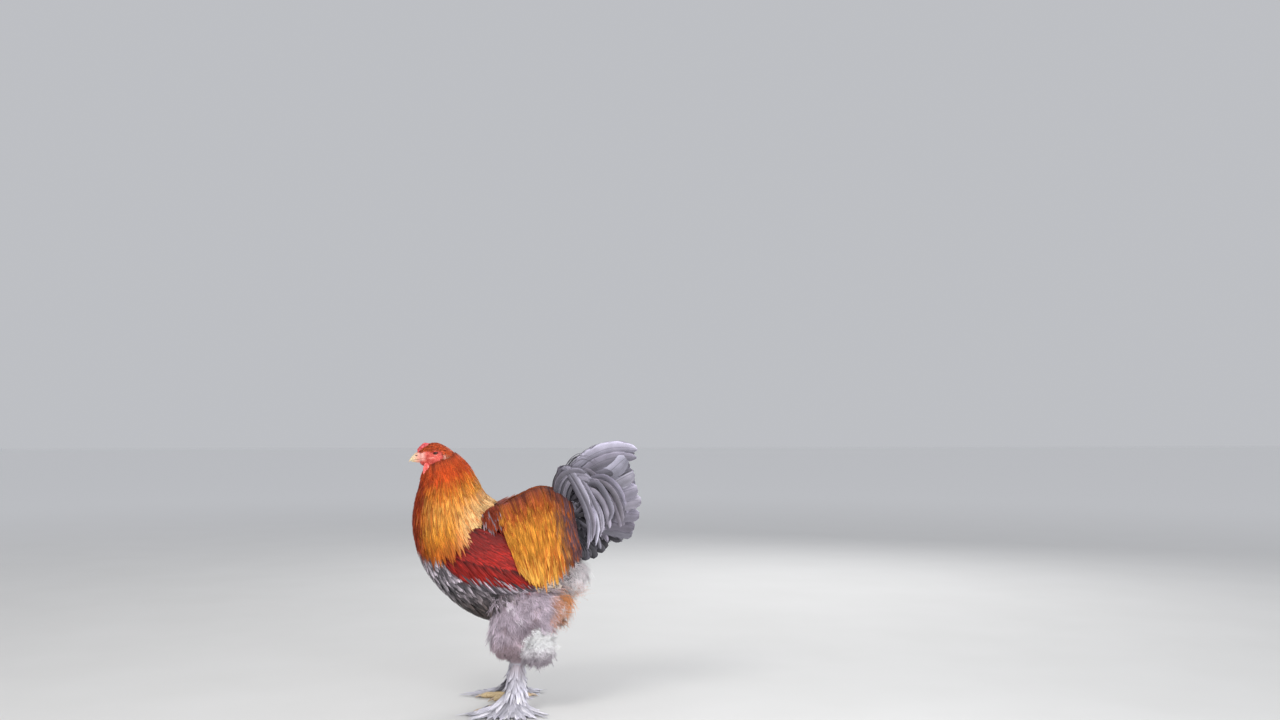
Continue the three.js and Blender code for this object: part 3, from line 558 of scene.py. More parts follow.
skin_normals = read(skin.data.vertices, "normal", 3)
on_head = (skin_points[:, 2] > FACE_FLOOR + 0.003) & (skin_points[:, 0] < -0.175)
head_points = skin_points[on_head]
head_points += skin_normals[on_head] * (head_folds(head_points) * MM)[:, None]
head_points[:, 1], slit_shade = draw_lids(head_points)
lid_shade = np.zeros(len(skin_points))
lid_shade[on_head] = slit_shade
skin_points[on_head] = head_points
skin.data.vertices.foreach_set("co", skin_points.ravel())
skin.data.update()
print("folds raised on", int(on_head.sum()), "head points")

# %% [markdown]
# ## Markings
#
# The bird's colours change from region to region with soft borders: rust and gold on the
# neck, crimson on the wing, slate on the breast, lavender on the thighs. Each skin point
# gets a named colour for its region, then the borders are softened by averaging
# neighbours. Every feather later takes its colour from the skin at its root, so skin and
# coat carry the same markings.

# %% Named colours of the plumage
COLOURS = {
    "crown rust": (0.44, 0.062, 0.016), "hackle rust": (0.54, 0.066, 0.009),
    "hackle gold": (0.63, 0.235, 0.020), "hackle straw": (0.68, 0.36, 0.068),
    "hackle orange": (0.48, 0.105, 0.012), "hackle cream": (0.74, 0.48, 0.21),
    "front red": (0.33, 0.031, 0.006), "back maroon": (0.22, 0.040, 0.020),
    "saddle gold": (0.56, 0.226, 0.030), "saddle orange": (0.43, 0.106, 0.019),
    "saddle ridge": (0.218, 0.046, 0.028), "saddle mauve": (0.090, 0.042, 0.044),
    "wing crimson": (0.29, 0.012, 0.008), "wing maroon": (0.17, 0.010, 0.008),
    "wing grey": (0.22, 0.18, 0.215), "wing buff": (0.58, 0.48, 0.41),
    "breast slate": (0.110, 0.096, 0.108), "breast pale": (0.46, 0.40, 0.455),
    "breast grey": (0.30, 0.26, 0.295), "belly mauve": (0.058, 0.036, 0.029),
    "thigh lavender": (0.48, 0.40, 0.465), "thigh low": (0.33, 0.25, 0.275),
    "rear buff": (0.56, 0.38, 0.32), "rear orange": (0.54, 0.22, 0.09),
    "vent white": (0.76, 0.69, 0.71), "hock white": (0.94, 0.94, 0.95),
    "hock grey": (0.38, 0.33, 0.37), "leg pale": (0.62, 0.60, 0.68),
    "tail grey": (0.195, 0.180, 0.222), "tail dark": (0.032, 0.030, 0.040),
    "face red": (0.60, 0.075, 0.055), "toe yellow": (0.66, 0.50, 0.27),
}


def named(name):
    return np.array(COLOURS[name])


def ramp(share, stops):
    """Colour along a share from 0 to 1 through (place, colour name) stops."""
    at = [s[0] for s in stops]
    table = np.array([named(s[1]) for s in stops])
    return np.stack([np.interp(share, at, table[:, k]) for k in range(3)], -1)


def step_between(value, low, high):
    t = np.clip((value - low) / (high - low), 0, 1)
    return t * t * (3 - 2 * t)


def blend(a, b, share):
    """Colours turned from a towards b, by a share from 0 to 1 for each place."""
    share = np.reshape(share, (-1, 1))
    return a * (1 - share) + b * share


# The hock ball turns from white at its top to grey at its foot: painted shade.
BALL_STOPS = [(0, "hock white"), (0.3, "hock white"), (1, "hock grey")]


def skin_colour(places, regions):
    x, _, z = millimetres(places)
    trunk = ramp(step_between(z, 330, 215), [(0, "breast slate"), (0.5, "breast slate"), (1, "belly mauve")])
    trunk = blend(trunk, named("back maroon"), step_between(z, 440, 475))
    trunk = blend(trunk, named("rear buff"), step_between(x, 40, 100) * step_between(z, 300, 240))
    shoulder = step_between(z - 0.25 * (x + 100), 385, 440)
    lower = step_between(z + 0.06 * (x + 150), 330, 318)
    # The lower front of the thigh turns to a darker colour: painted shade.
    shade = step_between(z - 0.35 * (x + 30), 245, 150)
    thigh = ramp(shade, [(0, "thigh lavender"), (0.4, "thigh lavender"), (1, "thigh low")])
    thigh = blend(thigh, named("rear buff"), step_between(x, 45, 85) * step_between(z, 170, 215))
    markings = {
        "torso": trunk, "head": named("crown rust"), "tail": named("tail grey"),
        "neck": ramp(step_between(z, 600, 400), [
            (0, "crown rust"), (0.2, "hackle rust"), (0.6, "hackle gold"), (1, "hackle orange")]),
        "saddle": ramp(step_between(x, -90, 110), [
            (0, "saddle ridge"), (0.4, "saddle gold"), (1, "saddle orange")]),
        "wing": ramp((1 - shoulder) / 2 + lower / 2, [
            (0, "wing maroon"), (0.5, "wing crimson"), (1, "wing grey")]),
        "vent": named("vent white"), "thigh": thigh, "hock": ramp(step_between(z, 178, 126), BALL_STOPS),
        "shank": named("leg pale"), "toe": named("toe yellow"),
    }
    out = np.empty((len(places), 3))
    for label, colours in markings.items():
        here = regions == LABELS.index(label)
        out[here] = np.broadcast_to(colours, out.shape)[here]
    return out


def face_share(places):
    """How bare the skin is: 1 on the face, 0 where feathers grow."""
    x, y, z = millimetres(places)
    cheek = np.hypot((x + 237) / 38, (z - 608.5) / (18.5 + 0.12 * np.clip(-225 - x, 0, 30)))
    eye = np.hypot((x - EYE[0] - 1) / 14, (z - EYE[2] + 1) / 8.6)
    return 1 - step_between(np.minimum(cheek, eye), 0.84, 1.06)


plumage = softened(skin_colour(skin_points, skin_region), skin_edges, 7, 0.6)
on_face = skin_points[:, 2] > FACE_FLOOR
bare = face_share(skin_points) * (on_face & (skin_points[:, 0] < -0.19))
plumage = blend(plumage, named("face red"), bare)


def blush(places):
    """How pale the bare skin is: the lower lid, a crease of the cheek and the skin at the beak."""
    x, _, z = millimetres(places)
    across, up = x - EYE[0], z - EYE[2]
    lid = bump(np.hypot(across / 7.5, (up + 5.4) / 2.4), 1.0)
    crease = 0.7 * bump(np.hypot((x + 233) / 13, (z - 612.5 - 0.12 * (x + 233)) / 3.0), 1.0)
    cere = 1.3 * step_between(-x, 245, 257) * step_between(z, 602, 609)
    return np.maximum(np.maximum(lid, crease), cere)


# How much of the coat's colour the skin under it keeps; the rest is painted shade, a near-black for the shade
# between feathers
GROUND_UNSHADED = {"torso": 0.4, "head": 0.6, "neck": 0.4, "saddle": 0.35, "tail": 0.3, "vent": 0.85,
          "wing": 0.45, "thigh": 0.75, "hock": 0.9, "shank": 0.7, "toe": 1.0}
ground = np.array([GROUND_UNSHADED[name] for name in LABELS])[skin_region][:, None]
skin_values = {
    "Bare": bare, "Toe": (skin_region == LABELS.index("toe")).astype(float),
    "Ground": softened(ground, skin_edges, 5, 0.6), "Lid": lid_shade, "Blush": blush(skin_points) * on_face,
}


def set_attribute(mesh, name, kind, values):
    """Writes a value for each point: kind is FLOAT, FLOAT_VECTOR or FLOAT_COLOR."""
    made = mesh.attributes.new(name, kind, "POINT")
    field = {"FLOAT": "value", "FLOAT_VECTOR": "vector", "FLOAT_COLOR": "color"}[kind]
    values = np.asarray(values, np.float32)
    if kind == "FLOAT_COLOR":
        values = np.concatenate([values, np.ones((len(values), 1), np.float32)], 1)
    made.data.foreach_set(field, values.ravel())


set_attribute(skin.data, "Plumage", "FLOAT_COLOR", plumage)
for label, values in skin_values.items():
    set_attribute(skin.data, label, "FLOAT", values)
print("colours set on", len(plumage), "skin points")

# %% Unwrap the skin and make it easy to ask about
bpy.context.view_layer.objects.active = skin
skin.select_set(True)
bpy.ops.object.mode_set(mode="EDIT")
bpy.ops.mesh.select_all(action="SELECT")
bpy.ops.uv.smart_project(angle_limit=math.radians(66), island_margin=0.001)
bpy.ops.object.mode_set(mode="OBJECT")
skin.data.uv_layers[0].name = "OFBake"
skin.data.shade_smooth()
skin_points = read(skin.data.vertices, "co", 3)
skin_normals = read(skin.data.vertices, "normal", 3)
loop_start = read(skin.data.polygons, "loop_start", 1, np.int32)
loop_point = read(skin.data.loops, "vertex_index", 1, np.int32)
loop_uv = read(skin.data.uv_layers[0].uv, "vector", 2)
face_points = np.stack([loop_point[loop_start + k] for k in range(3)], 1)
face_uv = (loop_uv[loop_start] + loop_uv[loop_start + 1] + loop_uv[loop_start + 2]) / 3
face_normal = skin_normals[face_points].mean(1)
face_normal /= np.linalg.norm(face_normal, axis=1, keepdims=True)
face_centre = skin_points[face_points].mean(1)
face_region = skin_region[face_points[:, 0]]
face_area = read(skin.data.polygons, "area", 1)
face_plumage = plumage[face_points].mean(1)
skin_tree = BVHTree.FromPolygons(skin_points.tolist(), [list(p.vertices) for p in skin.data.polygons])


def on_skin(places):
    """Nearest skin place, its normal and its face, for an array of places."""
    found = [skin_tree.find_nearest(p) for p in places.tolist()]
    near = np.array([f[0] for f in found])
    face = np.array([f[2] for f in found])
    return near, face_normal[face], face


print("unwrapped", len(face_uv), "skin faces")

# %% [markdown]
# ## The lie of the coat
#
# Feathers point away from the beak, back along the trunk and down the legs. A short table
# of places and directions, blended by nearness, gives the lie anywhere on the body. The
# right side mirrors the left.

# %% Directions of the coat
LIE = np.array([
    # x, |y|, z, then the way the feathers point
    (-262, 6, 640, 1.0, 0.0, 0.35), (-245, 8, 652, 1.0, 0.0, 0.1), (-215, 8, 650, 1.0, 0.0, -0.3),
    (-190, 8, 632, 0.8, 0.0, -0.7), (-215, 24, 630, 1.0, 0.0, -0.45), (-235, 22, 600, 0.6, 0.0, -0.6),
    (-205, 22, 600, 0.6, 0.0, -0.8), (-250, 8, 588, 0.35, 0.1, -1.0), (-225, 5, 582, 0.2, 0.0, -1.0),
    (-262, 0, 430, 0.0, 0.15, -1.0), (-245, 55, 400, 0.25, 0.15, -1.0), (-240, 20, 340, 0.45, 0.1, -0.9),
    (-205, 60, 300, 0.7, 0.05, -0.75), (-160, 30, 245, 0.95, 0.0, -0.4), (-160, 90, 330, 0.8, 0.0, -0.7),
    (-100, 60, 225, 1.0, 0.0, -0.25), (-100, 95, 280, 0.9, 0.0, -0.5), (-20, 40, 205, 1.0, 0.0, 0.05),
    (50, 30, 235, 0.95, 0.0, 0.0), (90, 20, 290, 0.8, 0.0, -0.3), (-80, 40, 500, 1.0, 0.35, -0.1),
    (-30, 90, 460, 0.8, 0.4, -0.6), (70, 60, 470, 0.7, 0.25, -0.8), (110, 30, 430, 0.6, 0.1, -0.8),
    (-180, 105, 400, 0.75, 0.0, -0.7), (-120, 115, 390, 0.85, 0.0, -0.55), (-50, 115, 370, 0.9, 0.0, -0.45),
    (20, 108, 345, 0.95, 0.0, -0.35), (-100, 112, 320, 0.95, 0.0, -0.3), (-60, 60, 500, 0.9, 0.3, -0.2),
    (112, 30, 330, 0.75, 0.1, -0.6), (150, 20, 310, 0.4, 0.1, -0.9), (120, 30, 275, 0.2, 0.0, -1.0),
    (-85, 70, 265, 0.35, 0.0, -0.95), (0, 115, 260, 0.4, 0.05, -0.95), (90, 75, 260, 0.55, 0.0, -0.85),
    (-70, 72, 190, 0.1, 0.0, -1.0), (-25, 112, 190, 0.2, 0.0, -1.0), (40, 75, 200, 0.5, 0.0, -0.9),
    (-30, 30, 200, 0.2, -0.1, -1.0), (-40, 105, 150, 0.0, 0.15, -1.0), (-80, 72, 145, -0.1, 0.0, -1.0),
    (25, 74, 185, 0.9, 0.0, 0.1), (70, 74, 165, 0.5, 0.0, -0.8), (80, 74, 135, 0.15, 0.0, -1.0),
    (55, 74, 95, -0.4, 0.0, -1.0), (20, 74, 88, -0.8, 0.0, -0.5), (30, 115, 140, 0.15, 0.1, -1.0),
    (-20, 90, 100, 0.05, 0.45, -0.9), (-20, 85, 50, -0.1, 0.6, -0.8), (-35, 72, 100, -0.4, 0.1, -0.9),
    (-5, 72, 60, 0.5, 0.1, -0.85), (-25, 60, 60, -0.1, -0.2, -1.0),
])


def lie_at(places, normals):
    """The way the coat lies at each place, in the plane of the skin."""
    spot = places / MM - (CENTRE_X, 0, 0)
    side = np.where(spot[:, 1] < 0, -1.0, 1.0)
    spot[:, 1] = np.abs(spot[:, 1])
    gap = ((spot[:, None] - LIE[None, :, :3]) ** 2).sum(-1)
    weight = 1 / (gap + 120.0) ** 2
    ways = LIE[:, 3:] / np.linalg.norm(LIE[:, 3:], axis=1, keepdims=True)
    way = (weight @ ways) / weight.sum(1, keepdims=True)
    way[:, 1] *= side
    way -= normals * (way * normals).sum(1, keepdims=True)
    return way / np.maximum(np.linalg.norm(way, axis=1, keepdims=True), 1e-9)


print(len(LIE), "places give the lie of the coat")

# %% [markdown]
# ## Feathers as mesh
#
# A feather here is a closed, cupped vane: a ring of a few points is repeated from root to
# tip, wide in the middle and pinched at both ends. All the feathers of a piece are made in
# one go as arrays and joined in one mesh, which is far quicker than many objects. Each
# carries how far along and across it a point is, its own seed, its colour and the colour
# of its quill, for the material to read, and a small patch on the skin's unwrap.

# %% Tools that make vanes
PATCH = 0.003
LOWEST = 0.0003
coat, coat_triangles = {}, {}


def ring_of(columns):
    """Places across a closed vane's section, -1 to 1, and 1 above it or -1 below."""
    if columns == 2:
        return np.array([-1.0, 0.0, 1.0]), np.array([0.0, 1.0, 0.0])
    top = np.linspace(-1, 1, columns)
    low = top[1:-1][::-1]
    across = np.concatenate([top, low])
    layer = np.concatenate([[0], np.ones(columns - 2), [0], -np.ones(columns - 2)])
    return across, layer


def unit(vectors):
    return vectors / np.maximum(np.linalg.norm(vectors, axis=-1, keepdims=True), 1e-12)


def profile_of(stops, stations):
    """How wide a vane is at each station, from (share of its length, share of its width) stops."""
    at = np.linspace(0, 1, stations)
    return np.interp(at, [s[0] for s in stops], [s[1] for s in stops])


def vanes(name, paths, ups, half, stops, colour, quill, root_face, rng,
          columns=3, camber=0.25, thick=0.0005, fray=0.0, tip_colour=None, flip=None, soft=False):
    """Joins one closed vane for each path (vane, station, xyz) into a piece of the coat."""
    count, stations = paths.shape[:2]
    ahead = unit(np.gradient(paths, axis=1))
    side = unit(np.cross(ahead, ups))
    up = np.cross(side, ahead)
    across, layer = ring_of(columns)
    size = len(across)
    along = np.linspace(0, 1, stations)
    wide = (half[:, None] * profile_of(stops, stations))[:, :, None]
    spread = across * np.ones((count, stations, size))
    if fray:
        rims = np.abs(across) > 0.99
        spread[:, :, rims] *= 1 + rng.uniform(-fray, fray * 0.4, (count, stations, int(rims.sum())))
    arch = 1 - across**2
    rise = camber * wide * arch + thick / 2 * layer * arch
    points = paths[:, :, None] + side[:, :, None] * (wide * spread)[..., None]
    points = points + up[:, :, None] * rise[..., None]
    points[..., 2] = np.maximum(points[..., 2], LOWEST)
    i = np.arange(size)
    j = (i + 1) % size
    starts = np.arange(0, (stations - 1) * size, size)[:, None]
    quads = np.stack([starts + i, starts + j, starts + size + j, starts + size + i], -1)
    offset = (np.arange(count) * stations * size)[:, None, None]
    quads = (quads.reshape(1, -1, 4) + offset).reshape(-1, 4)
    caps = (np.stack([i[::-1], (stations - 1) * size + i])[None] + offset).reshape(-1, size)
    corner = np.concatenate([quads.ravel(), caps.ravel()]).astype(np.int32)
    first = np.concatenate([np.arange(0, quads.size, 4), quads.size + np.arange(0, caps.size, size)])
    mesh = bpy.data.meshes.new("coat_" + name)
    mesh.vertices.add(count * stations * size)
    mesh.vertices.foreach_set("co", points.astype(np.float32).ravel())
    mesh.loops.add(len(corner))
    mesh.loops.foreach_set("vertex_index", corner)
    mesh.polygons.add(len(first))
    mesh.polygons.foreach_set("loop_start", first.astype(np.int32))
    mesh.update(calc_edges=True)
    mesh.shade_smooth()
    mesh.set_sharp_from_angle(angle=math.radians(70))

    def each(values):
        """Values for every point, from ones for a vane, a station or a place across."""
        parts = values.shape[3]
        return np.broadcast_to(values, (count, stations, size, parts)).reshape(-1, parts)

    seed = rng.uniform(0, 1, count)[:, None, None]
    # The tail's vanes turn their across by this sign, so that the rim painted lighter lies the same way on
    # both sides of the bird.
    light = 1 if flip is None else flip[:, None, None]
    mix = (along**1.2)[None, :, None, None]
    tip = colour if tip_colour is None else tip_colour
    set_attribute(mesh, "Lie", "FLOAT_VECTOR", each(stack(along[:, None], light * across, seed)))
    full = colour[:, None, None] * (1 - mix) + tip[:, None, None] * mix
    set_attribute(mesh, "Plumage", "FLOAT_COLOR", each(full))
    set_attribute(mesh, "Quill", "FLOAT_COLOR", each(quill[:, None, None]))
    if soft:
        set_attribute(mesh, "Soft", "FLOAT_VECTOR", each(ups[:, :1, None]))
    patch = np.stack(np.broadcast_arrays(across / 2, (along - 0.5)[:, None]), -1) * PATCH
    place = (face_uv[root_face][:, None, None] + patch).reshape(-1, 2)
    mesh.uv_layers.new(name="OFBake").uv.foreach_set("vector", place[corner].astype(np.float32).ravel())
    coat[name] = bpy.data.objects.new("coat_" + name, mesh)
    bpy.context.scene.collection.objects.link(coat[name])
    coat_triangles[name] = 2 * len(quads) + (size - 2) * len(caps)
    print(f"coat_{name}: {count} vanes, {coat_triangles[name]} triangles")


def shaped(name, paths, ups, half, stops, colour, quill, rng, **look):
    """Vanes whose patch of the unwrap is the skin's nearest place to their roots."""
    vanes(name, paths, ups, half, stops, colour, quill, on_skin(paths[:, 0])[2], rng, **look)


LANCE = [(0, 0.35), (0.15, 0.8), (0.4, 1), (0.7, 0.86), (0.88, 0.5), (1, 0.04)]
BLUNT = [(0, 0.25), (0.2, 0.62), (0.55, 0.95), (0.8, 1), (0.9, 0.94), (0.95, 0.8), (1, 0.36)]
WISP = [(0, 0.7), (0.4, 1), (1, 0.05)]
SICKLE = [(0, 0.4), (0.3, 0.9), (0.6, 1), (0.85, 0.85), (0.95, 0.55), (1, 0.15)]


def thinned(places, spacing, order):
    """Which places are kept, taken in order, so that none lies within the spacing of another."""
    near = tree_of(places)
    free = np.ones(len(places), bool)
    kept = []
    for k in order:
        if free[k]:
            kept.append(k)
            for _, other, _ in near.find_range(places[k], spacing):
                free[other] = False
    return np.array(kept)


def scatter(region, spacing, rng, keep=None):
    """Roots spread evenly over a region of the skin: places and faces."""
    wanted = np.isin(face_region, [LABELS.index(name) for name in region])
    if keep is not None:
        wanted &= keep(face_centre)
    faces_here = np.flatnonzero(wanted)
    area = face_area[faces_here]
    count = int(area.sum() / spacing**2 * 5)
    chosen = rng.choice(faces_here, count, p=area / area.sum())
    a, b = rng.uniform(0, 1, (2, count))
    over = a + b > 1
    a[over], b[over] = 1 - a[over], 1 - b[over]
    first, second, third = skin_points[face_points[chosen]].transpose(1, 0, 2)
    places = first + a[:, None] * (second - first) + b[:, None] * (third - first)
    kept = thinned(places, spacing, range(count))
    return places[kept], chosen[kept]


def lay(roots, length, stations, base, rise, rng, sway=0.0, sink=0.0015):
    """Paths that start at the roots and follow the lie of the coat over the skin."""
    count = len(roots)
    paths = np.empty((count, stations, 3))
    ups = np.empty_like(paths)
    turn = rng.normal(0, 1, count) * sway
    places = roots.copy()
    step = (length / (stations - 1))[:, None]
    for k in range(stations):
        near, normal, _ = on_skin(places)
        t = k / (stations - 1)
        height = base + rise * t - (sink + base) * max(0, 1 - t / 0.25)
        paths[:, k] = near + normal * np.reshape(height, (-1, 1))
        ups[:, k] = normal
        way = lie_at(near, normal)
        across = np.cross(normal, way)
        way = way * np.cos(turn)[:, None] + across * np.sin(turn)[:, None]
        places = near + way * step + normal * 0.001
    return paths, ups


def vary(colours, rng, amount=0.12):
    """The same colours, each a little lighter or darker."""
    return colours * rng.normal(1, amount, (len(colours), 1)).clip(0.6, 1.5)


def join(*parts):
    """The same columns of several parts, each joined into one array."""
    return [np.concatenate(group) for group in zip(*parts)]


print("tools for vanes, with patches", PATCH, "across")

# %% [markdown]
# ## Body feathers
#
# Breast, belly and back are covered by short rounded feathers in overlapping rows. On the
# breast each has a pale quill and rim on slate, which draws the scaled look of the bird.

# %% Breast, belly and back
FEATHER = [(0, 0.3), (0.25, 0.8), (0.55, 1), (0.8, 0.85), (0.93, 0.55), (1, 0.12)]
BODY_SPACING, BODY_LENGTH, BODY_HALF = 0.0064, 0.042, 0.0052
rng = np.random.default_rng(3)
roots, root_face = scatter(["torso"], BODY_SPACING, rng,
                           lambda p: (p[:, 2] < 0.43) | (np.abs(p[:, 1]) < 0.07))
height = roots[:, 2] / MM
length = BODY_LENGTH * rng.uniform(0.8, 1.2, len(roots))
paths, ups = lay(roots, length, 7, 0.0022, 0.0090, rng, sway=0.12)
colour = vary(face_plumage[root_face], rng, 0.16) * 0.6
tips = vary(ramp(step_between(height, 400, 225), [
    (0, "breast pale"), (0.4, "breast grey"), (0.8, "belly mauve"), (1, "belly mauve")]), rng, 0.25)
pick = rng.uniform(0, 1, (len(roots), 1))
tips = np.where(pick < 0.4, tips * 0.28, np.where(pick > 0.78, tips * 1.6 + 0.04, tips))
back = step_between(height, 430, 470)
vanes("body", paths, ups, BODY_HALF * rng.uniform(0.75, 1.2, len(roots)), FEATHER, colour,
      blend(colour * 0.9, colour * 1.2, back), root_face, rng, camber=0.28, fray=0.12,
      tip_colour=np.clip(blend(tips, colour * 2.4, back), 0, 1))

# %% Wing bow, silky and close
BOW_SPACING, BOW_LENGTH, BOW_HALF = 0.0046, 0.046, 0.0031
rng = np.random.default_rng(5)


def shown(p):
    """Where the folded wing isn't under the cape or the saddle's hackles."""
    x, _, z = millimetres(p)
    return (x < 0) & (z < 470 - 0.35 * np.maximum(-60 - x, 0)) & (x < 60 - 0.5 * (z - 330))


roots, root_face = scatter(["wing"], BOW_SPACING, rng, shown)
length = BOW_LENGTH * rng.uniform(0.75, 1.2, len(roots))
paths, ups = lay(roots, length, 7, 0.0008, 0.0040, rng, sway=0.10)
colour = vary(face_plumage[root_face], rng, 0.2)
vanes("wing_bow", paths, ups, BOW_HALF * rng.uniform(0.8, 1.15, len(roots)), LANCE, colour,
      colour * 0.45, root_face, rng, camber=0.35, fray=0.05, tip_colour=np.clip(colour * 1.2, 0, 0.9))

# %% [markdown]
# ## The neck's hackles
#
# A cock's hackles are long, narrow and pointed, and they fall from the nape over the
# shoulders like a cape. They are laid in rows on the cape surface, from the throat down,
# so that each row covers the roots of the next.

# %% Hackles of the neck
rng = np.random.default_rng(7)
STATIONS = 6
LOCK_PITCH = math.pi / 17
LOCK_TONES = 400
PALEST = 0.92
t = np.linspace(0, 1, STATIONS)
lock_tone = rng.uniform(0.72, 1.28, LOCK_TONES)


def gather(tip, pitch, pull, phase):
    """Draws tips towards the middle of their lock, as long feathers cling together."""
    lock = np.floor(tip / pitch + phase)
    centre = (lock + 0.5 - phase) * pitch
    return tip + (centre - tip) * pull, lock.astype(int)


def hang(surface, a, v, inset, middle, side):
    """Paths on a surface, and the outward way there, on one side of the bird."""
    here = surface(a, v, inset)
    da = surface(a + 0.01, v, inset) - surface(a - 0.01, v, inset)
    dv = surface(a, v + 0.01, inset) - surface(a, v - 0.01, inset)
    up = unit(np.cross(dv, da))
    up *= np.sign((up * (here - middle)).sum(-1, keepdims=True))
    return metres(mirrored(here, side)), mirrored(up, side)


rows = []
v0, row = 0.0, 0
while v0 < 0.66:
    grown = min(1.0, 0.25 + 0.75 * v0 / 0.3)
    ring = cape_surface(np.linspace(0, math.pi, 40), np.full(40, v0))
    girth = np.linalg.norm(np.diff(ring, axis=0), axis=1).sum()
    count = int(girth / (1.9 + 2.6 * grown))
    for side in (LEFT, RIGHT):
        angle = (np.arange(count) + 0.5 * (row % 2) + 0.25) / count * math.pi + rng.normal(0, 0.014, count)
        angle = angle.clip(0.01, math.pi - 0.01)
        v_root = v0 + rng.normal(0, 0.008, count)
        v_tip = v_root + (0.06 + 0.37 * grown) * rng.uniform(0.85, 1.15, count)
        low = step_between(v_tip, 0.3, 0.9)
        tip_angle = angle + 0.06 * np.sin(angle) * grown + rng.normal(0, 0.022, count)
        tip_angle, lock = gather(tip_angle, LOCK_PITCH, 0.74 * low, (row // 4) * 0.37 % 1)
        v_tip = np.minimum(v_tip, 1.02 + 0.035 * np.sin(lock * 2.4 + row) + rng.normal(0, 0.022, count))
        v = v_root[:, None] + (v_tip - v_root)[:, None] * t
        a = angle[:, None] + (tip_angle - angle)[:, None] * t**1.5
        inset = 2.5 + 4.5 * grown - (4 + 6 * grown) * t**0.8 + rng.normal(0, 1.0, count)[:, None] * t
        path, up = hang(cape_surface, a, v, inset, (-190, 0, 480), side)
        base = ramp(v_root, [
            (0, "crown rust"), (0.06, "hackle rust"), (0.26, "hackle rust"), (0.42, "hackle gold"),
            (0.5, "hackle gold"), (0.66, "hackle orange")])
        tip = ramp(v_tip + rng.normal(0, 0.04, count), [
            (0.2, "hackle rust"), (0.3, "hackle rust"), (0.46, "hackle gold"), (0.64, "hackle straw"),
            (0.84, "hackle gold"), (1.02, "hackle orange")])
        cream = step_between(angle, 1.55, 2.2) * step_between(v_tip, 0.6, 0.9)
        red = 1 - step_between(angle + rng.normal(0, 0.10, count), 0.5, 1.05)
        red = red * step_between(v_tip, 0.1, 0.35)
        dark = (rng.uniform(0, 1, count) < 0.22) * rng.uniform(0.4, 0.8, count)
        base = blend(base, named("front red"), red)
        tip = blend(blend(tip, named("front red"), red), named("hackle cream"), cream)
        tip = blend(tip, named("hackle orange"), dark)
        tone = lock_tone[(lock + (row // 3) * 17) % LOCK_TONES][:, None]
        rows.append((path, up, vary(base * tone, rng, 0.10), np.clip(vary(tip * tone, rng, 0.10), 0, PALEST),
                     blend(base * 0.26, np.array([0.07, 0.055, 0.065]), cream),
                     0.001 * (0.75 + 2.3 * grown) * rng.uniform(0.75, 1.15, count)))
    v0 += 0.006 + 0.0105 * grown
    row += 1
hackles = join(*rows)
middle = len(hackles[0]) // 2
for part, kept in (("upper", slice(0, middle)), ("lower", slice(middle, None))):
    paths, ups, colour, tips, quill, half = [values[kept] for values in hackles]
    shaped("hackle_" + part, paths, ups, half, LANCE, colour, quill, rng,
           camber=0.16, fray=0.1, tip_colour=tips)

# %% [markdown]
# ## The saddle
#
# From the ridge of the back long golden hackles droop over the folded wings, and get
# mauve towards the tail. They are laid like the cape's, from the ridge down.

# %% Hackles of the saddle
rng = np.random.default_rng(9)
STATIONS = 7
t = np.linspace(0, 1, STATIONS)
FRONT_ROWS = [(0, -118, 497, 62, 372, 104), (0.5, -98, 499, 70, 350, 112), (1, -78, 502, 76, 326, 119)]
REAR_ROWS = [(0, 70, 541, 42, 350, 97), (0.5, 94, 530, 34, 362, 88), (1, 112, 512, 26, 378, 74)]
ROOT_INSET = 8.0
front_at, rear_at = smooth(FRONT_ROWS), smooth(REAR_ROWS)


def over_saddle(table, s, v, inset, side):
    return hang(lambda a, b, c: saddle_surface(a, b, c, table), s, v, inset, (20, 0, 380), side)


def drape(table, rows, count, v_first, v_last, reach, end, paint_on, width, lock_pitch, rng):
    """Rows of long feathers that hang over a saddle surface, on both sides."""
    out = []
    for row in range(rows):
        v0 = v_first + (v_last - v_first) * row / max(rows - 1, 1)
        for side in (LEFT, RIGHT):
            s = (np.arange(count) + 0.5 * (row % 2) + 0.2) / count + rng.normal(0, 0.008, count)
            s = s.clip(0.0, 1.0)
            v_root = v0 + rng.normal(0, 0.008, count)
            v_tip = v_root + (reach + 0.10 * v0) * rng.uniform(0.85, 1.12, count)
            tip_s, lock = gather(s + rng.normal(0, 0.012, count), lock_pitch,
                                 0.6 * step_between(v_tip, 0.4, 0.9), (row // 4) * 0.37 % 1)
            ragged = end + 0.03 * np.sin(lock * 2.1 + row * 0.7) + rng.normal(0, 0.015, count)
            v_tip = np.minimum(v_tip, ragged)
            v = v_root[:, None] + (v_tip - v_root)[:, None] * t
            along_s = s[:, None] + (tip_s - s)[:, None] * t**1.4
            inset = ROOT_INSET - (ROOT_INSET + 3) * t**0.8 + rng.normal(0, 1.0, count)[:, None] * t
            path, up = over_saddle(table, along_s, v, inset, side)
            splay = (1 - step_between(s, 0.0, 0.12)) * rng.uniform(-1.0, 0.35, count) * 12 * MM
            path[..., 0] += splay[:, None] * t**1.6
            base, tip, streak = paint_on(s, v_root, v_tip, rng)
            tone = lock_tone[(lock + (row // 3) * 13) % LOCK_TONES][:, None]
            out.append((path, up, vary(base * tone, rng, 0.1), np.clip(vary(tip * tone, rng, 0.1), 0, PALEST),
                        streak, 0.001 * width * rng.uniform(0.8, 1.15, count)))
    return join(*out)


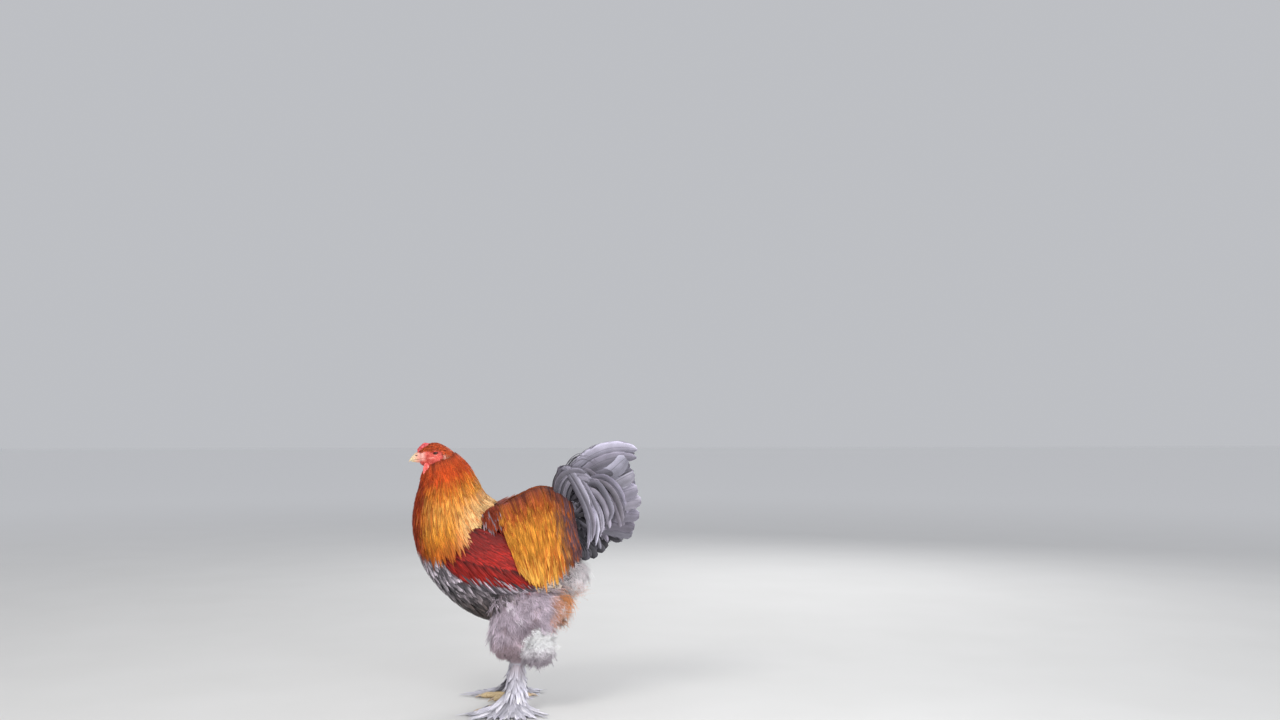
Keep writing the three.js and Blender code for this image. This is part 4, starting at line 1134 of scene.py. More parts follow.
def saddle_paint(s, v_root, v_tip, rng):
    base = ramp(v_root, [
        (0, "saddle ridge"), (0.1, "saddle ridge"), (0.3, "saddle gold"), (0.6, "saddle orange")])
    early = (rng.uniform(0, 1, len(s)) < 0.3) * 0.12
    tip = ramp(v_tip + early, [(0.3, "saddle ridge"), (0.44, "saddle orange"), (0.56, "saddle gold"),
                               (0.85, "saddle gold"), (1.05, "hackle straw")])
    rust = (rng.uniform(0, 1, len(s)) < 0.2 + 0.35 * step_between(s, 0.3, 0.8)) * rng.uniform(0.5, 1, len(s))
    grey = step_between(s + rng.normal(0, 0.06, len(s)), 0.76, 1.0) * 0.75
    base = blend(base, named("saddle mauve"), grey)
    tip = blend(blend(tip, named("saddle orange"), rust), named("saddle mauve"), grey)
    return base, tip, base * 0.35


def front_paint(s, v_root, v_tip, rng):
    pick = rng.uniform(0, 1, len(s))[:, None] + 1.3 * (v_tip[:, None] - 0.22)
    maroon = named("back maroon")
    base = np.where(pick < 0.3, named("saddle orange"), maroon)
    tip = np.where(pick > 1.02, named("breast pale") * 0.6, maroon)
    tip = np.where(pick < 0.3, named("saddle gold"), tip)
    return base, tip, base * 0.5


def rear_paint(s, v_root, v_tip, rng):
    mauve = np.tile(named("saddle mauve"), (len(s), 1))
    rust = (rng.uniform(0, 1, len(s)) < 0.35 * (1 - s))[:, None]
    return mauve * 0.8, np.where(rust, named("saddle orange") * 0.7, mauve * 1.35), mauve * 0.4


def ridge_rows(count, rng):
    """Lances that run back along the middle of the ridge and close its parting."""
    s = rng.uniform(-0.02, 0.93, count)
    along_s = (s[:, None] + 0.13 * t).clip(0, 1)
    v = rng.uniform(0.0, 0.03, count)[:, None] + rng.uniform(0, 0.08, count)[:, None] * t**1.5
    out = []
    for side in (LEFT, RIGHT):
        inset = 9.0 - 4.4 * t**0.8 + rng.normal(0, 0.5, count)[:, None] * t
        path, up = over_saddle(saddle_at, along_s, v, inset, side)
        look = saddle_paint(s.clip(0, 1), v[:, 0], v[:, -1] + 0.25, rng)
        out.append((path, up, *look, 0.0026 * rng.uniform(0.8, 1.15, count)))
    return join(*out)


main = drape(saddle_at, 34, 36, 0.0, 0.62, 0.36, 1.02, saddle_paint, 3.3, 1 / 15, rng)
front = drape(front_at, 10, 8, 0.0, 0.24, 0.24, 0.50, front_paint, 2.8, 0.3, rng)
paths, ups, colour, tips, quill, half = join(main, front, ridge_rows(260, rng))
shaped("saddle", paths, ups, half, LANCE, colour, quill, rng,
       camber=0.16, fray=0.1, tip_colour=tips)
rear = drape(rear_at, 14, 11, 0.02, 0.64, 0.40, 1.03, rear_paint, 4.6, 0.25, rng)
paths, ups, colour, tips, quill, half = rear
shaped("saddle_rear", paths, ups, half, LANCE, colour, quill, rng,
       camber=0.25, fray=0.06, tip_colour=tips)

# %% [markdown]
# ## Folded flights and the wing bar
#
# Under the crimson bow lies a bar of grey coverts with pale rims, and below it the folded
# flight feathers show as a narrow stack of buff edges.

# %% Wing bar and flights
rng = np.random.default_rng(11)
FLIGHTS, FLIGHT_HALF = 9, 0.0075


def flight_surface(x, z, out=0.0):
    return stack(x, 111 + out - 0.09 * (x + 60) - 0.0018 * (z - 345) ** 2, z)


rows = []
t = np.linspace(0, 1, 12)
for side in (LEFT, RIGHT):
    for i in range(FLIGHTS):
        x0, z0 = -70 + rng.uniform(-3, 3), 296 + 6.0 * i
        x1, z1 = 86 - 1.6 * i + rng.uniform(-3, 3), 301 + 4.4 * i + rng.uniform(-1.5, 1.5)
        x = x0 + (x1 - x0) * t
        z = z0 + (z1 - z0) * t - 7 * np.sin(t * math.pi)
        here = flight_surface(x, z, -6 + 8 * t - 0.5 * i + 0.8 * i * t)
        rows.append((metres(mirrored(here, side)), np.tile((0, side * 0.97, -0.24), (12, 1)),
                     named("wing buff") * rng.uniform(0.75, 1.1), (0.12, 0.07, 0.06), FLIGHT_HALF))
paths, ups, colour, quill, half = map(np.array, zip(*rows))
shaped("flights", paths, ups, half, BLUNT, colour, quill, rng, columns=5,
       camber=0.12, thick=0.0007, fray=0.04)

# %% Wing bar and the crimson points over it
t = np.linspace(0, 1, 8)


def wing_rows(table, rng):
    """Rows of feathers over the wing: (first x, last x, step, v, reach, fall, half, height, paint)."""
    out = []
    for first, last, step, v0, reach, fall, half, height, paint in table:
        for side in (LEFT, RIGHT):
            for x0 in np.arange(first, last, step):
                x0 = x0 + rng.uniform(-0.3, 0.3) * step
                x = x0 + reach * rng.uniform(0.8, 1.15) * t
                v = v0 + rng.uniform(-0.012, 0.012) + (fall * rng.uniform(0.7, 1.2)) * t**0.9
                out_by = height[0] + (height[1] - height[0]) * t + rng.normal(0, 0.6) * t
                up = unit(wing_surface(x, v, -20.0) - wing_surface(x, v, 0.0))
                out.append((metres(mirrored(wing_surface(x, v, -out_by), side)), mirrored(up, side),
                            *paint(rng), half * MM * rng.uniform(0.8, 1.15)))
    return map(np.array, zip(*out))


def bar_paint(rng):
    tip = named("breast pale") if rng.uniform() < 0.4 else named("wing grey") * 0.5
    tip = tip * rng.uniform(0.55, 1.0)
    return tip * 0.45, tip, tip * 0.35


def point_paint(rng):
    tip = named("wing crimson") * rng.uniform(0.7, 1.35)
    return tip * 0.5, tip, tip * 0.4


paths, ups, colour, tips, quill, half = wing_rows([
    (-168, -10, 8.5, 0.665, 40, 0.15, 6.6, (-4, 3.5), bar_paint),
    (-160, 20, 8.5, 0.73, 42, 0.15, 6.8, (-4, 4.0), bar_paint),
    (-150, 30, 9.0, 0.81, 42, 0.13, 6.8, (-4, 4.0), bar_paint),
], rng)
shaped("wing_bar", paths, ups, half, FEATHER, colour, quill, rng,
       columns=5, camber=0.2, thick=0.0006, fray=0.14, tip_colour=tips)
paths, ups, colour, tips, quill, half = wing_rows([
    (-186, 8, 5.0, 0.55, 40, 0.14, 3.2, (-3, 5.0), point_paint),
    (-184, 8, 5.0, 0.59, 42, 0.15, 3.2, (-3, 5.5), point_paint),
    (-180, 6, 9.0, 0.64, 40, 0.15, 2.8, (-3, 6.0), point_paint),
], rng)
shaped("wing_points", paths, ups, half, LANCE, colour, quill, rng,
       camber=0.3, fray=0.08, tip_colour=tips)

# %% [markdown]
# ## Fluff
#
# Thighs, vent and hocks carry down: soft feathers without a firm vane. Each tuft is a fan
# of thin curved wisps from one root, and wisps of one tuft share one patch of the unwrap.

# %% Tool for fluff
WISP_STATIONS = 3


def clumps(places, size, rng):
    """For each place: how far it is from the middle of its clump, 0 to 1, the clump and its middle."""
    middles = thinned(places, size, rng.permutation(len(places)))
    gap = np.linalg.norm(places[:, None] - places[middles][None], axis=2)
    owner = gap.argmin(1)
    return (gap.min(1) / (0.62 * size)).clip(0, 1), owner, places[middles][owner]


def fluff(name, region, spacing, length, rise, rng, wisps=12, open_fan=0.6, width=0.0008, keep=None,
          lighter=1.3, curl=0.003, speckle=None, clump=0.022, stand=0.0, contrast=0.3, low=None):
    """Tufts of thin wisps: fuller at the middle of each clump and lower between, with painted light at the
    middle and painted shade between.
    """
    roots, root_face = scatter(region, spacing, rng, keep)
    count = len(roots)
    off, owner, middle = clumps(roots, clump, rng)
    reach = length * rng.uniform(0.7, 1.2, count) * (1.1 - 0.25 * off)
    height = rise * (1.35 - 0.8 * off**2)
    if low is not None:
        full = 0.55 + 0.45 * step_between(roots[:, 2] / MM, low - 15, low + 35)
        reach, height = reach * full, height * full
    paths, ups = lay(roots, reach, WISP_STATIONS, 0.001, height, rng, sway=0.25)
    t = np.linspace(0, 1, WISP_STATIONS)
    straight = paths[:, :1] + ups[:, :1] * (reach[:, None] * t)[..., None]
    paths = paths * (1 - stand) + straight * stand
    paths = paths + (middle - roots)[:, None] * (0.35 * off[:, None] * t)[..., None]
    ahead = unit(paths[:, -1] - paths[:, 0])
    across = unit(np.cross(ups[:, 0], ahead) + 1e-9)
    fan = np.linspace(-1, 1, wisps)[None] + rng.normal(0, 0.14, (count, wisps))
    lift = rng.uniform(-0.5, 0.7, (count, wisps))
    spread = (fan * open_fan)[:, :, None] * (reach[:, None, None] * 0.5) * t**1.1
    bend = curl * np.sin(t * math.pi * 1.3) * rng.normal(0, 1, (count, wisps, 1))
    out = lift[:, :, None] * height[:, None, None] * t
    short = rng.uniform(0.7, 1.0, (count, wisps, 1, 1))
    many = paths[:, None, :1] + (paths[:, None] - paths[:, None, :1]) * short
    many = many + across[:, None, None] * (spread + bend)[..., None] + ups[:, None] * out[..., None]
    own_tone = rng.normal(1, 0.13, owner.max() + 1)[owner]
    # Painted light at the middle of each clump and painted shade between clumps.
    tuft = vary(face_plumage[root_face], rng, 0.08) * (own_tone * (1 + contrast * (0.45 - off**1.5)))[:, None]
    if speckle is not None:
        tuft = speckle(roots, tuft)
    colour = vary(np.repeat(tuft, wisps, 0), rng, 0.07)
    vanes(name, many.reshape(-1, WISP_STATIONS, 3), np.repeat(ups, wisps, 0),
          width * rng.uniform(0.7, 1.3, len(colour)), WISP,
          np.clip(colour, 0, 0.95), colour * 0.85, np.repeat(root_face, wisps), rng, columns=2, camber=0.5,
          thick=0.0004, tip_colour=np.clip(colour * lighter, 0, 0.95), soft=True)


# %% Fluff of the thighs, vent and hocks
rng = np.random.default_rng(13)
# The white ball at the hock: its middle and its radii
BALL = np.array((31, 74, 164)), np.array((44, 54, 50))


def in_ball(p, grow=1.0):
    x, y, z = millimetres(p)
    return np.linalg.norm((stack(x, np.abs(y), z) - BALL[0]) / (BALL[1] * grow), axis=1) < 1


def even(tuft):
    """How light each tuft is next to the others."""
    return (tuft.mean(1) / tuft.mean(1).mean())[:, None]


def whitened(roots, tuft):
    """White at the ball's top, turning grey at its foot as painted shade."""
    return ramp(step_between(roots[:, 2] / MM, 190, 128), BALL_STOPS) * even(tuft).clip(0.9, 1.1)


def buff_speckle(roots, tuft):
    """Mixes orange and white tufts among the buff ones at the back of the thigh."""
    x, _, z = millimetres(roots)
    share = step_between(x, 38, 80) * step_between(z, 165, 205)
    pick = rng.uniform(0, 1, len(roots))[:, None]
    orange = pick < (0.5 * share * step_between(z, 315, 270))[:, None]
    white = pick > 1 - (0.08 + 0.32 * step_between(z, 280, 310))[:, None] * share[:, None]
    tuft = np.where(orange, named("rear orange") * rng.uniform(0.7, 1.2, (len(roots), 1)), tuft)
    return np.where(white, named("vent white") * rng.uniform(0.8, 1.05, (len(roots), 1)), tuft)


THIGH_LIGHT_AND_SHADE = [
    (-42, 266, 30, 14, 0.25), (18, 262, 22, 12, 0.25), (5, 206, 26, 22, -0.35), (-40, 214, 20, 16, 0.12),
    (-76, 190, 12, 34, 0.3), (-38, 150, 26, 20, -0.25), (-20, 118, 30, 22, -0.35), (36, 226, 14, 20, -0.2),
]


def shadowed(roots, tuft):
    """Painted light and shade in patches over the thigh: (x, z, half width, half height, change)."""
    x, _, z = millimetres(roots)
    tone = np.ones(len(roots))
    for at_x, at_z, wide, high, change in THIGH_LIGHT_AND_SHADE:
        tone += change * np.exp(-((x - at_x) / wide) ** 2 - ((z - at_z) / high) ** 2)
    tuft = np.maximum(tuft, named("thigh low"))
    return buff_speckle(roots, tuft * tone[:, None])


for name, sign in (("left", LEFT), ("right", RIGHT)):
    def mine(p):
        return (p[:, 1] * sign > 0) & ~in_ball(p, 0.93)

    def ball_mine(p):
        return (p[:, 1] * sign > 0) & in_ball(p)

    fluff("thigh_" + name, ["thigh"], 0.0050, 0.025, 0.0090, rng, keep=mine, speckle=shadowed,
          clump=0.024, wisps=8, low=156, contrast=0.45)
    fluff("hock_" + name, ["hock", "thigh", "shank"], 0.0040, 0.021, 0.0135, rng, keep=ball_mine, curl=0.004,
          stand=0.5, clump=0.013, contrast=0.1, lighter=1.1, low=112, speckle=whitened)
    fluff("over_" + name, ["thigh"], 0.0092, 0.034, 0.0125, rng, keep=mine, wisps=14, low=156, open_fan=0.8,
          width=0.0006, speckle=shadowed, clump=0.030, contrast=0.6, curl=0.006, lighter=1.35)
fluff("vent", ["vent"], 0.0042, 0.026, 0.0130, rng, stand=0.4, clump=0.018, contrast=0.15,
      curl=0.005, lighter=1.15, speckle=buff_speckle)


def behind(p):
    x, y, z = millimetres(p)
    return (x > 36) & (z > 205) & (z < 345) & (np.abs(y) < 116)


def rumped(roots, tuft):
    """Buff with orange streaks below, whitish above, where thigh and vent meet."""
    tone = even(tuft).clip(0.75, 1.2)
    x, _, z = millimetres(roots)
    pick = rng.uniform(0, 1, (len(roots), 1))
    share = (0.15 + 0.4 * step_between(x, 44, 70) * step_between(z, 315, 285))[:, None]
    pale = np.where(pick < 0.93, named("rear buff"), named("vent white"))
    low = np.where(pick < share, named("rear orange"), pale)
    mixed_down = blend(low, named("vent white") * 0.85, step_between(z, 288, 325))
    return blend(mixed_down, named("thigh lavender") * 1.1, step_between(x, 72, 44)) * tone


fluff("rump", ["thigh", "torso", "vent"], 0.0074, 0.046, 0.0200, rng, keep=behind, open_fan=0.7,
      width=0.0007, speckle=rumped, stand=0.28, clump=0.02, contrast=0.3, curl=0.006)

# %% [markdown]
# ## Legs and feet
#
# A brahma's shanks and outer toes carry real feathers. They point down and outward from
# the shank, and spread over the floor around the foot.

# %% Feathers of the shanks
rng = np.random.default_rng(17)
STATIONS = 9
t = np.linspace(0, 1, STATIONS)
SHANK_RINGS, SHANK_TURNS, SHANK_TOP = 15, 17, 132
rows = []
for side in (LEFT, RIGHT):
    for row in range(SHANK_RINGS):
        for i in range(SHANK_TURNS):
            height = SHANK_TOP - 7.6 * row + rng.uniform(-3, 3)
            turn = (i + 0.5 * (row % 2) + rng.uniform(-0.3, 0.3)) / SHANK_TURNS * 2 * math.pi
            way = np.array([math.cos(turn), math.sin(turn), 0])
            outer = (1 + side * way[1]) / 2
            low = 1 - height / SHANK_TOP
            reach = (36 + 22 * outer) * rng.uniform(0.75, 1.1)
            flare = (5 + 7 * outer + (14 + 22 * outer) * low) * rng.uniform(0.7, 1.25)
            centre = np.array([shank_x(height), side * LEG_Y, height])
            here = centre + way * (9 + 2.5 * t + flare * t**1.4)[:, None]
            here[:, 2] = height - reach * t
            here += way * (np.maximum(2.5 - here[:, 2], 0) * 0.8)[:, None]
            here[:, 2] = np.maximum(here[:, 2], 1.2 + 2.2 * rng.uniform() * t)
            here += np.array([-way[1], way[0], 0]) * (rng.normal(0, 3.5) * t**1.5)[:, None]
            pale = named("leg pale") * rng.uniform(0.75, 1.2)
            # Near the top the shank feathers take the thigh's darker low colour, which is painted shade.
            top = step_between(height, 95, 135)
            rows.append((metres(here), np.tile(way + (0, 0, 0.25), (STATIONS, 1)),
                         pale * 0.55 * (1 - top) + named("thigh low") * 0.8 * top,
                         np.clip(pale * 1.2, 0, 0.9) * (1 - 0.4 * top), 0.0046 * rng.uniform(0.75, 1.2)))
paths, ups, colour, tips, half = map(np.array, zip(*rows))
shaped("shank", paths, ups, half, FEATHER, colour, colour * 0.6, rng,
       camber=0.3, fray=0.16, tip_colour=tips)

# %% Feathers of the feet
rng = np.random.default_rng(19)
FOOT_LAYERS, FOOT_FAN, TOE_FEATHERS = 6, 22, 56
STATIONS = 10
t = np.linspace(0, 1, STATIONS)
level_up = np.tile((0, 0, 1.0), (STATIONS, 1))
rows = []
for side in (LEFT, RIGHT):
    for layer in range(FOOT_LAYERS):
        for i in range(FOOT_FAN):
            share = (i + 0.5 * (layer % 2)) / (FOOT_FAN - 0.5)
            way = level_way(math.radians(14 + 134 * share + rng.normal(0, 5)), side)
            sideways = np.cross(way, (0, 0, 1))
            reach = (100 + 26 * step_between(-share, -0.5, -0.1) - 13 * layer) * rng.uniform(0.74, 1.06)
            start = np.array([FOOT_X - 8 + 10 * share, side * (LEG_Y + 4), 14 + 5.5 * layer]) + way * 6
            curl = rng.uniform(0, 5)
            height = (start[2] * (1 - t) ** 1.7 + 1.6 + 2.0 * layer * (1 - 0.5 * t)
                      + 3 * np.sin(t * math.pi) + curl * t**4)
            reach = min(reach, 84 / max(way[1] * side, 0.1))
            here = start + way * (reach * t)[:, None]
            here = here + sideways * rng.normal(0, 7) * (t**2)[:, None]
            here[:, 2] = np.maximum(height, 1.2)
            rows.append((metres(here), level_up + way * 0.2 + sideways * rng.normal(0, 0.25),
                         named("leg pale") * rng.uniform(0.6, 1.2), 0.0064 * rng.uniform(0.7, 1.2)))
    for i in range(TOE_FEATHERS):
        along = rng.uniform(4, 64)
        toe = rng.choice([1, 2, 3], p=[0.34, 0.56, 0.10])
        if toe == 3:
            along *= 0.4
        heading = TOES[toe][0]
        start = np.array([FOOT_X, side * LEG_Y, 15]) + level_way(math.radians(heading), side) * along
        way = level_way(math.radians(min(heading + rng.uniform(10, 60), 165)), side)
        here = start + way * (rng.uniform(28, 46) * t)[:, None]
        here[:, 2] = 15 * (1 - t) ** 1.5 + 2.4 + 6 * np.sin(t * math.pi) * 0.6
        rows.append((metres(here), level_up, named("leg pale") * rng.uniform(0.7, 1.15),
                     0.0048 * rng.uniform(0.8, 1.15)))
paths, ups, colour, half = map(np.array, zip(*rows))
shaped("feet", paths, ups, half, FEATHER, colour * 0.7, colour * 0.45, rng,
       columns=5, camber=0.18, thick=0.0006, fray=0.2, tip_colour=np.clip(colour * 1.2, 0, 0.9))

# %% [markdown]
# ## The tail
#
# The tail has broad main feathers in a fan, two pairs of long sickles that arch over them
# and many curved coverts that fall over its sides. Each is a wide vane with a firm quill.
# Shorter coverts roof the gap between the two sides, small feathers cover the stump, and
# loose barbs fringe the rims of the big feathers.

# %% Tail feathers
rng = np.random.default_rng(23)


def arc_path(root, start, turn, length, spread, side, stations):
    t = np.linspace(0, 1, stations)
    heading = np.radians(start + turn * t / 2)
    bend = np.abs(np.radians(turn) * t / 2)
    chord = length * t * np.where(bend > 1e-6, np.sin(bend) / np.maximum(bend, 1e-6), 1)
    y = side * (root[1] + spread * t**0.8)
    return stack(root[0] + chord * np.cos(heading), y, root[2] + chord * np.sin(heading))


def curve_path(points, side, stations, end=1.0):
    """A smooth path through points, at even distances, cut off at a share of its length."""
    points = np.array(points, float)
    at = np.concatenate([[0], np.cumsum(np.linalg.norm(np.diff(points, axis=0), axis=1))])
    fine = smooth(np.column_stack([at / at[-1], points]).tolist())(np.linspace(0, end, stations))
    return mirrored(fine, side)


tail_rows = {}
LONG, SHORT = 22, 14
# Coverts: number, first share, step, jitter, shift, shares of the length, half widths, tones
COVERTS = [
    (8, -0.04, 0.02, 3.0, (0, 0, 0), (0.72, 0.98), (5.0, 6.6), (0.6, 1.25)),
    (10, 0.08, 0.028, 4.5, (0, 0, 0), (0.62, 0.98), (5.6, 7.6), (0.45, 1.25)),
    # The third row lies further in, with lower tones: painted shade.
    (13, 0.3, 0.055, 5, (0, -10, -4), (0.7, 0.95), (7, 9), (0.4, 0.75)),
]
# Curled coverts: how far out they hang, and the x and z that they pass
CURLS = [
    (62, [(108, 505), (136, 538), (172, 551), (198, 518), (212, 480), (204, 456)]),
    (57, [(110, 512), (145, 545), (182, 553), (212, 532), (232, 490), (242, 420)]),
    (60, [(106, 500), (130, 524), (160, 530), (186, 508), (202, 468), (207, 428)]),
    (48, [(112, 515), (150, 556), (190, 566), (226, 540), (246, 492), (252, 436)]),
    (63, [(108, 490), (134, 510), (160, 508), (180, 484), (188, 448), (182, 418)]),
    (58, [(118, 478), (140, 472), (168, 458), (190, 436), (202, 404)]),
    (62, [(116, 466), (136, 450), (158, 434), (176, 412), (184, 388)]),
    (50, [(118, 470), (150, 466), (186, 456), (218, 432), (238, 404)]),
]
FILAMENT = [(84, 30, 556), (110, 36, 600), (136, 40, 616), (160, 42, 608), (178, 44, 588)]


def tail_feather(group, path, half, tone, side, lean=0.12):
    tail_rows.setdefault(group, []).append((path, half, tone, side, lean))


def drape_path(share, jitter, side, end=1.0):
    """The fall of a covert: share 0 is the one nearest the saddle, 1 the furthest back."""
    inward = 18 * share
    points = [
        (76 + 30 * share, 36 - inward, 530 - 30 * share), (90 + 66 * share, 46 - inward, 586 - 10 * share),
        (132 + 78 * share, 62 - inward, 526 - 6 * share), (157 + 80 * share, 74 - inward, 456),
        (151 + 86 * share, 78 - inward, 392 + 16 * share),
    ]
    moved = np.array(points) + jitter * np.linspace(0.2, 1, 5)[:, None]
    return curve_path(moved, side, LONG, end)


for side in (LEFT, RIGHT):
    tail_feather("sickle", arc_path((94, 6, 504), 86, -103, 258, 10, side, LONG), 18.5, 1.6, side)
    tail_feather("sickle", arc_path((92, 1, 504), 83, -100, 246, 4, side, LONG), 15, 1.0, side, 0.1)
    tail_feather("sickle", arc_path((98, 12, 500), 74, -84, 230, 14, side, LONG), 18, 1.15, side, 0.3)
    tail_feather("sickle", arc_path((96, 9, 500), 80, -96, 236, 12, side, LONG), 14, 0.42, side, 0.2)
    tail_feather("sickle", arc_path((104, 17, 494), 62, -70, 196, 18, side, LONG), 15, 0.5, side, 0.3)
    for i in range(7):
        path = arc_path((114, 17 + 2.6 * i, 474 - 2.6 * i), 50 - 10.2 * i + rng.uniform(-2, 2),
                        -12 + rng.uniform(-5, 5), (201 - 8 * i) * rng.uniform(0.95, 1.02),
                        15 + 2.6 * i, side, LONG)
        tail_feather("main", path, 25 - 0.6 * i, rng.uniform(1.0, 1.5), side, 0.45 + 0.07 * i)
        # A darker feather inside each main one: painted shade deep in the fan.
        path = arc_path((114, 9 + 1.8 * i, 474 - 2.6 * i), 45 - 10.2 * i, -8, 190 - 9 * i,
                        8 + 1.8 * i, side, LONG)
        tail_feather("main", path, 18, rng.uniform(0.45, 0.75), side, 0.3)
    for i in range(9):
        path = arc_path((118, 18 + 3.2 * i, 444 - 3.2 * i), -16 - 6.2 * i + rng.uniform(-3, 3), -18,
                        (106 - 6 * i) * rng.uniform(0.85, 1.05), 16, side, LONG)
        tail_feather("under", path, 12, rng.uniform(0.2, 0.5), side, -0.1 + 0.15 * rng.normal())
    for count, first, step, jitter, shift, end, half, tone in COVERTS:
        for i in range(count):
            path = drape_path(first + step * i, rng.normal(0, jitter, 3) + shift, side, rng.uniform(*end))
            tail_feather("covert", path, rng.uniform(*half), rng.uniform(*tone), side, rng.normal(0.12, 0.3))
    for depth, points in CURLS:
        # Each curl has two copies further in, each painted darker as shade.
        for again in range(3):
            points = np.array(points, float)
            shares = np.linspace(0, 1, len(points))
            y = 26 + (depth - 26) * np.minimum(shares * 2.2, 1) - 4.5 * again + rng.uniform(-2, 2)
            moved = np.column_stack([points[:, 0], y, points[:, 1]])
            moved += rng.normal(0, 4.5, 3) * (1, 0.6, 1) * (0.4 + 0.6 * shares[:, None]) * (again > 0)
            path = curve_path(moved, side, LONG, 1.0 if again == 0 else rng.uniform(0.8, 1.0))
            tail_feather("curl", path, rng.uniform(5.8, 7.8), rng.uniform(1.0, 2.1) - 0.5 * again, side,
                         rng.normal(0.1, 0.35))
    for i in range(30):
        path = arc_path((116 + rng.uniform(-8, 14), 30 + rng.uniform(-4, 14), 500 + rng.uniform(-48, 34)),
                        rng.uniform(-45, 60), rng.uniform(-70, 10), rng.uniform(36, 84), 12, side, SHORT)
        tail_feather("small", path, rng.uniform(4, 7), rng.choice([0.4, 0.7, 1.5], p=[0.5, 0.35, 0.15]), side,
                     rng.normal(0, 0.5))
    for i in range(4):
        moved = np.array(FILAMENT) + rng.normal(0, 6, 3) * (1, 0.8, 1)
        tail_feather("filament", curve_path(moved, side, LONG), 0.9, 0.5, side)

# Profile, columns and camber of each kind
TAIL_LOOKS = {
    "main": (BLUNT, 7, 0.16), "sickle": (SICKLE, 7, 0.22), "under": (BLUNT, 5, 0.15),
    "covert": (SICKLE, 5, 0.32), "curl": (SICKLE, 5, 0.42), "small": (FEATHER, 3, 0.3),
    "filament": (WISP, 3, 0.3),
}
fringed = []
for kind, rows in tail_rows.items():
    stops, columns, camber = TAIL_LOOKS[kind]
    path, half, tone, outward, lean = map(np.array, zip(*rows))
    path, half, tone = metres(path), half * MM, tone[:, None]
    profile = profile_of(stops, path.shape[1])
    up = np.column_stack([np.zeros(len(rows)), outward, lean])[:, None] * np.ones((1, path.shape[1], 1))
    if kind == "covert":
        tone = tone * 0.9
    else:
        tone = tone * (0.40 + 0.45 * step_between(path[:, -1, 2:3] / MM, 430, 560))
    if kind == "sickle":
        tone = tone * 0.72
    colour = named("tail grey") * tone * rng.normal(1, 0.015, (len(rows), 3))
    # Each feather's root is darkened towards near-black: painted shade where the feathers overlap.
    root = named("tail dark") * 0.35 + colour * 0.65
    shaped("tail_" + kind, path, up, half, stops, root, colour * 0.5, rng, columns=columns, camber=camber,
           thick=0.0009, fray=0.09, tip_colour=np.clip(colour * 1.7, 0, 0.9), flip=-outward.astype(float))
    if kind not in ("small", "filament"):
        fringed.append((path, up, half, profile, camber, colour))

# %% Coverts that roof the gap between the two sides
rows = []
for row in range(5):
    for y in np.linspace(-50, 50, 15 - row % 2):
        drop = 9 * (abs(y) / 50) ** 3
        points = [(71 + 7 * row, 512 - 5 * row), (74 + 8 * row, 556 - 3 * row), (93 + 9 * row, 585 - 4 * row),
                  (132 + 10 * row, 590 - 9 * row), (166 + 11 * row, 566 - 13 * row)]
        points = np.array([(x, y, z - drop) for x, z in points]) + rng.normal(0, 2.0, 3) * (1, 1, 0.6)
        path = curve_path(points, 1, SHORT, rng.uniform(0.8, 1.0))
        ahead = unit(np.gradient(path, axis=0))
        up = unit(stack(-ahead[:, 2], np.full(SHORT, 1.4 * (y / 50) ** 3), ahead[:, 0]))
        tone = rng.uniform(0.5, 1.15) * (1.1 if abs(y) > 38 else 1)
        rows.append((metres(path), up, named("tail grey") * tone))
paths, ups, colour = map(np.array, zip(*rows))
shaped("tail_roof", paths, ups, 0.0075 * rng.uniform(0.85, 1.15, len(rows)), FEATHER,
       colour * 0.8, colour * 0.5, rng, columns=5, camber=0.3, thick=0.0008, fray=0.09,
       tip_colour=np.clip(colour * 1.5, 0, 0.9))

# %% Small feathers over the stump of the tail
roots, root_face = scatter(["tail"], 0.0085, rng)
paths, ups = lay(roots, 0.034 * rng.uniform(0.8, 1.2, len(roots)), 6, 0.0016, 0.0085, rng, sway=0.3)
colour = vary(np.tile(named("tail grey"), (len(roots), 1)), rng, 0.3)
vanes("tail_cover", paths, ups, 0.0052 * rng.uniform(0.8, 1.2, len(roots)), FEATHER,
      colour * 0.6, colour * 0.4, root_face, rng, camber=0.3, fray=0.1, tip_colour=colour * 1.3)


# %% Fringes of the big feathers
def fringe(rows, per_side, rng):
    """Loose barbs along both rims of the big feathers, pointing outward and to the tip."""
    out = []
    for path, up, half, profile, camber, colour in rows:
        count, stations = path.shape[:2]
        ahead = unit(np.gradient(path, axis=1))
        over = unit(np.cross(ahead, up))
        high = np.cross(over, ahead)
        i = np.arange(count)
        for edge in np.repeat((-1.0, 1.0), per_side):
            at = rng.uniform(0.2, 0.93, count) * (stations - 1)
            run = rng.uniform(0.8, 1.3, count) * half / np.linalg.norm(path[:, 1] - path[:, 0], axis=1)
            steps = []
            for share, wide in ((0, 0.84), (0.5, 0.97), (1, 1.14)):
                here = np.minimum(at + run * share * 1.3, stations - 1.001)
                low = here.astype(int)
                part = (here - low)[:, None]
                width = half * np.interp(here / (stations - 1), np.linspace(0, 1, stations), profile)
                centre = path[i, low] * (1 - part) + path[i, low + 1] * part
                rise = camber * width * max(0, 1 - wide**2) - 0.0002
                outer = centre + over[i, low] * (edge * wide * width)[:, None]
                steps.append(outer + high[i, low] * rise[:, None])
            lighter = 0.75 + 0.7 * (at / (stations - 1))[:, None]
            out.append((np.stack(steps, 1), np.stack([high[i, at.astype(int)]] * 3, 1),
                        colour * lighter * rng.uniform(0.7, 1.25, (count, 1)),
                        rng.uniform(0.0006, 0.0012, count)))
    return join(*out)


paths, ups, colour, half = fringe(fringed, 11, rng)
shaped("tail_fringe", paths, ups, half, WISP, colour, colour * 0.8, rng,
       columns=2, camber=0.3, thick=0.0003, tip_colour=np.clip(colour * 1.25, 0, 0.9))

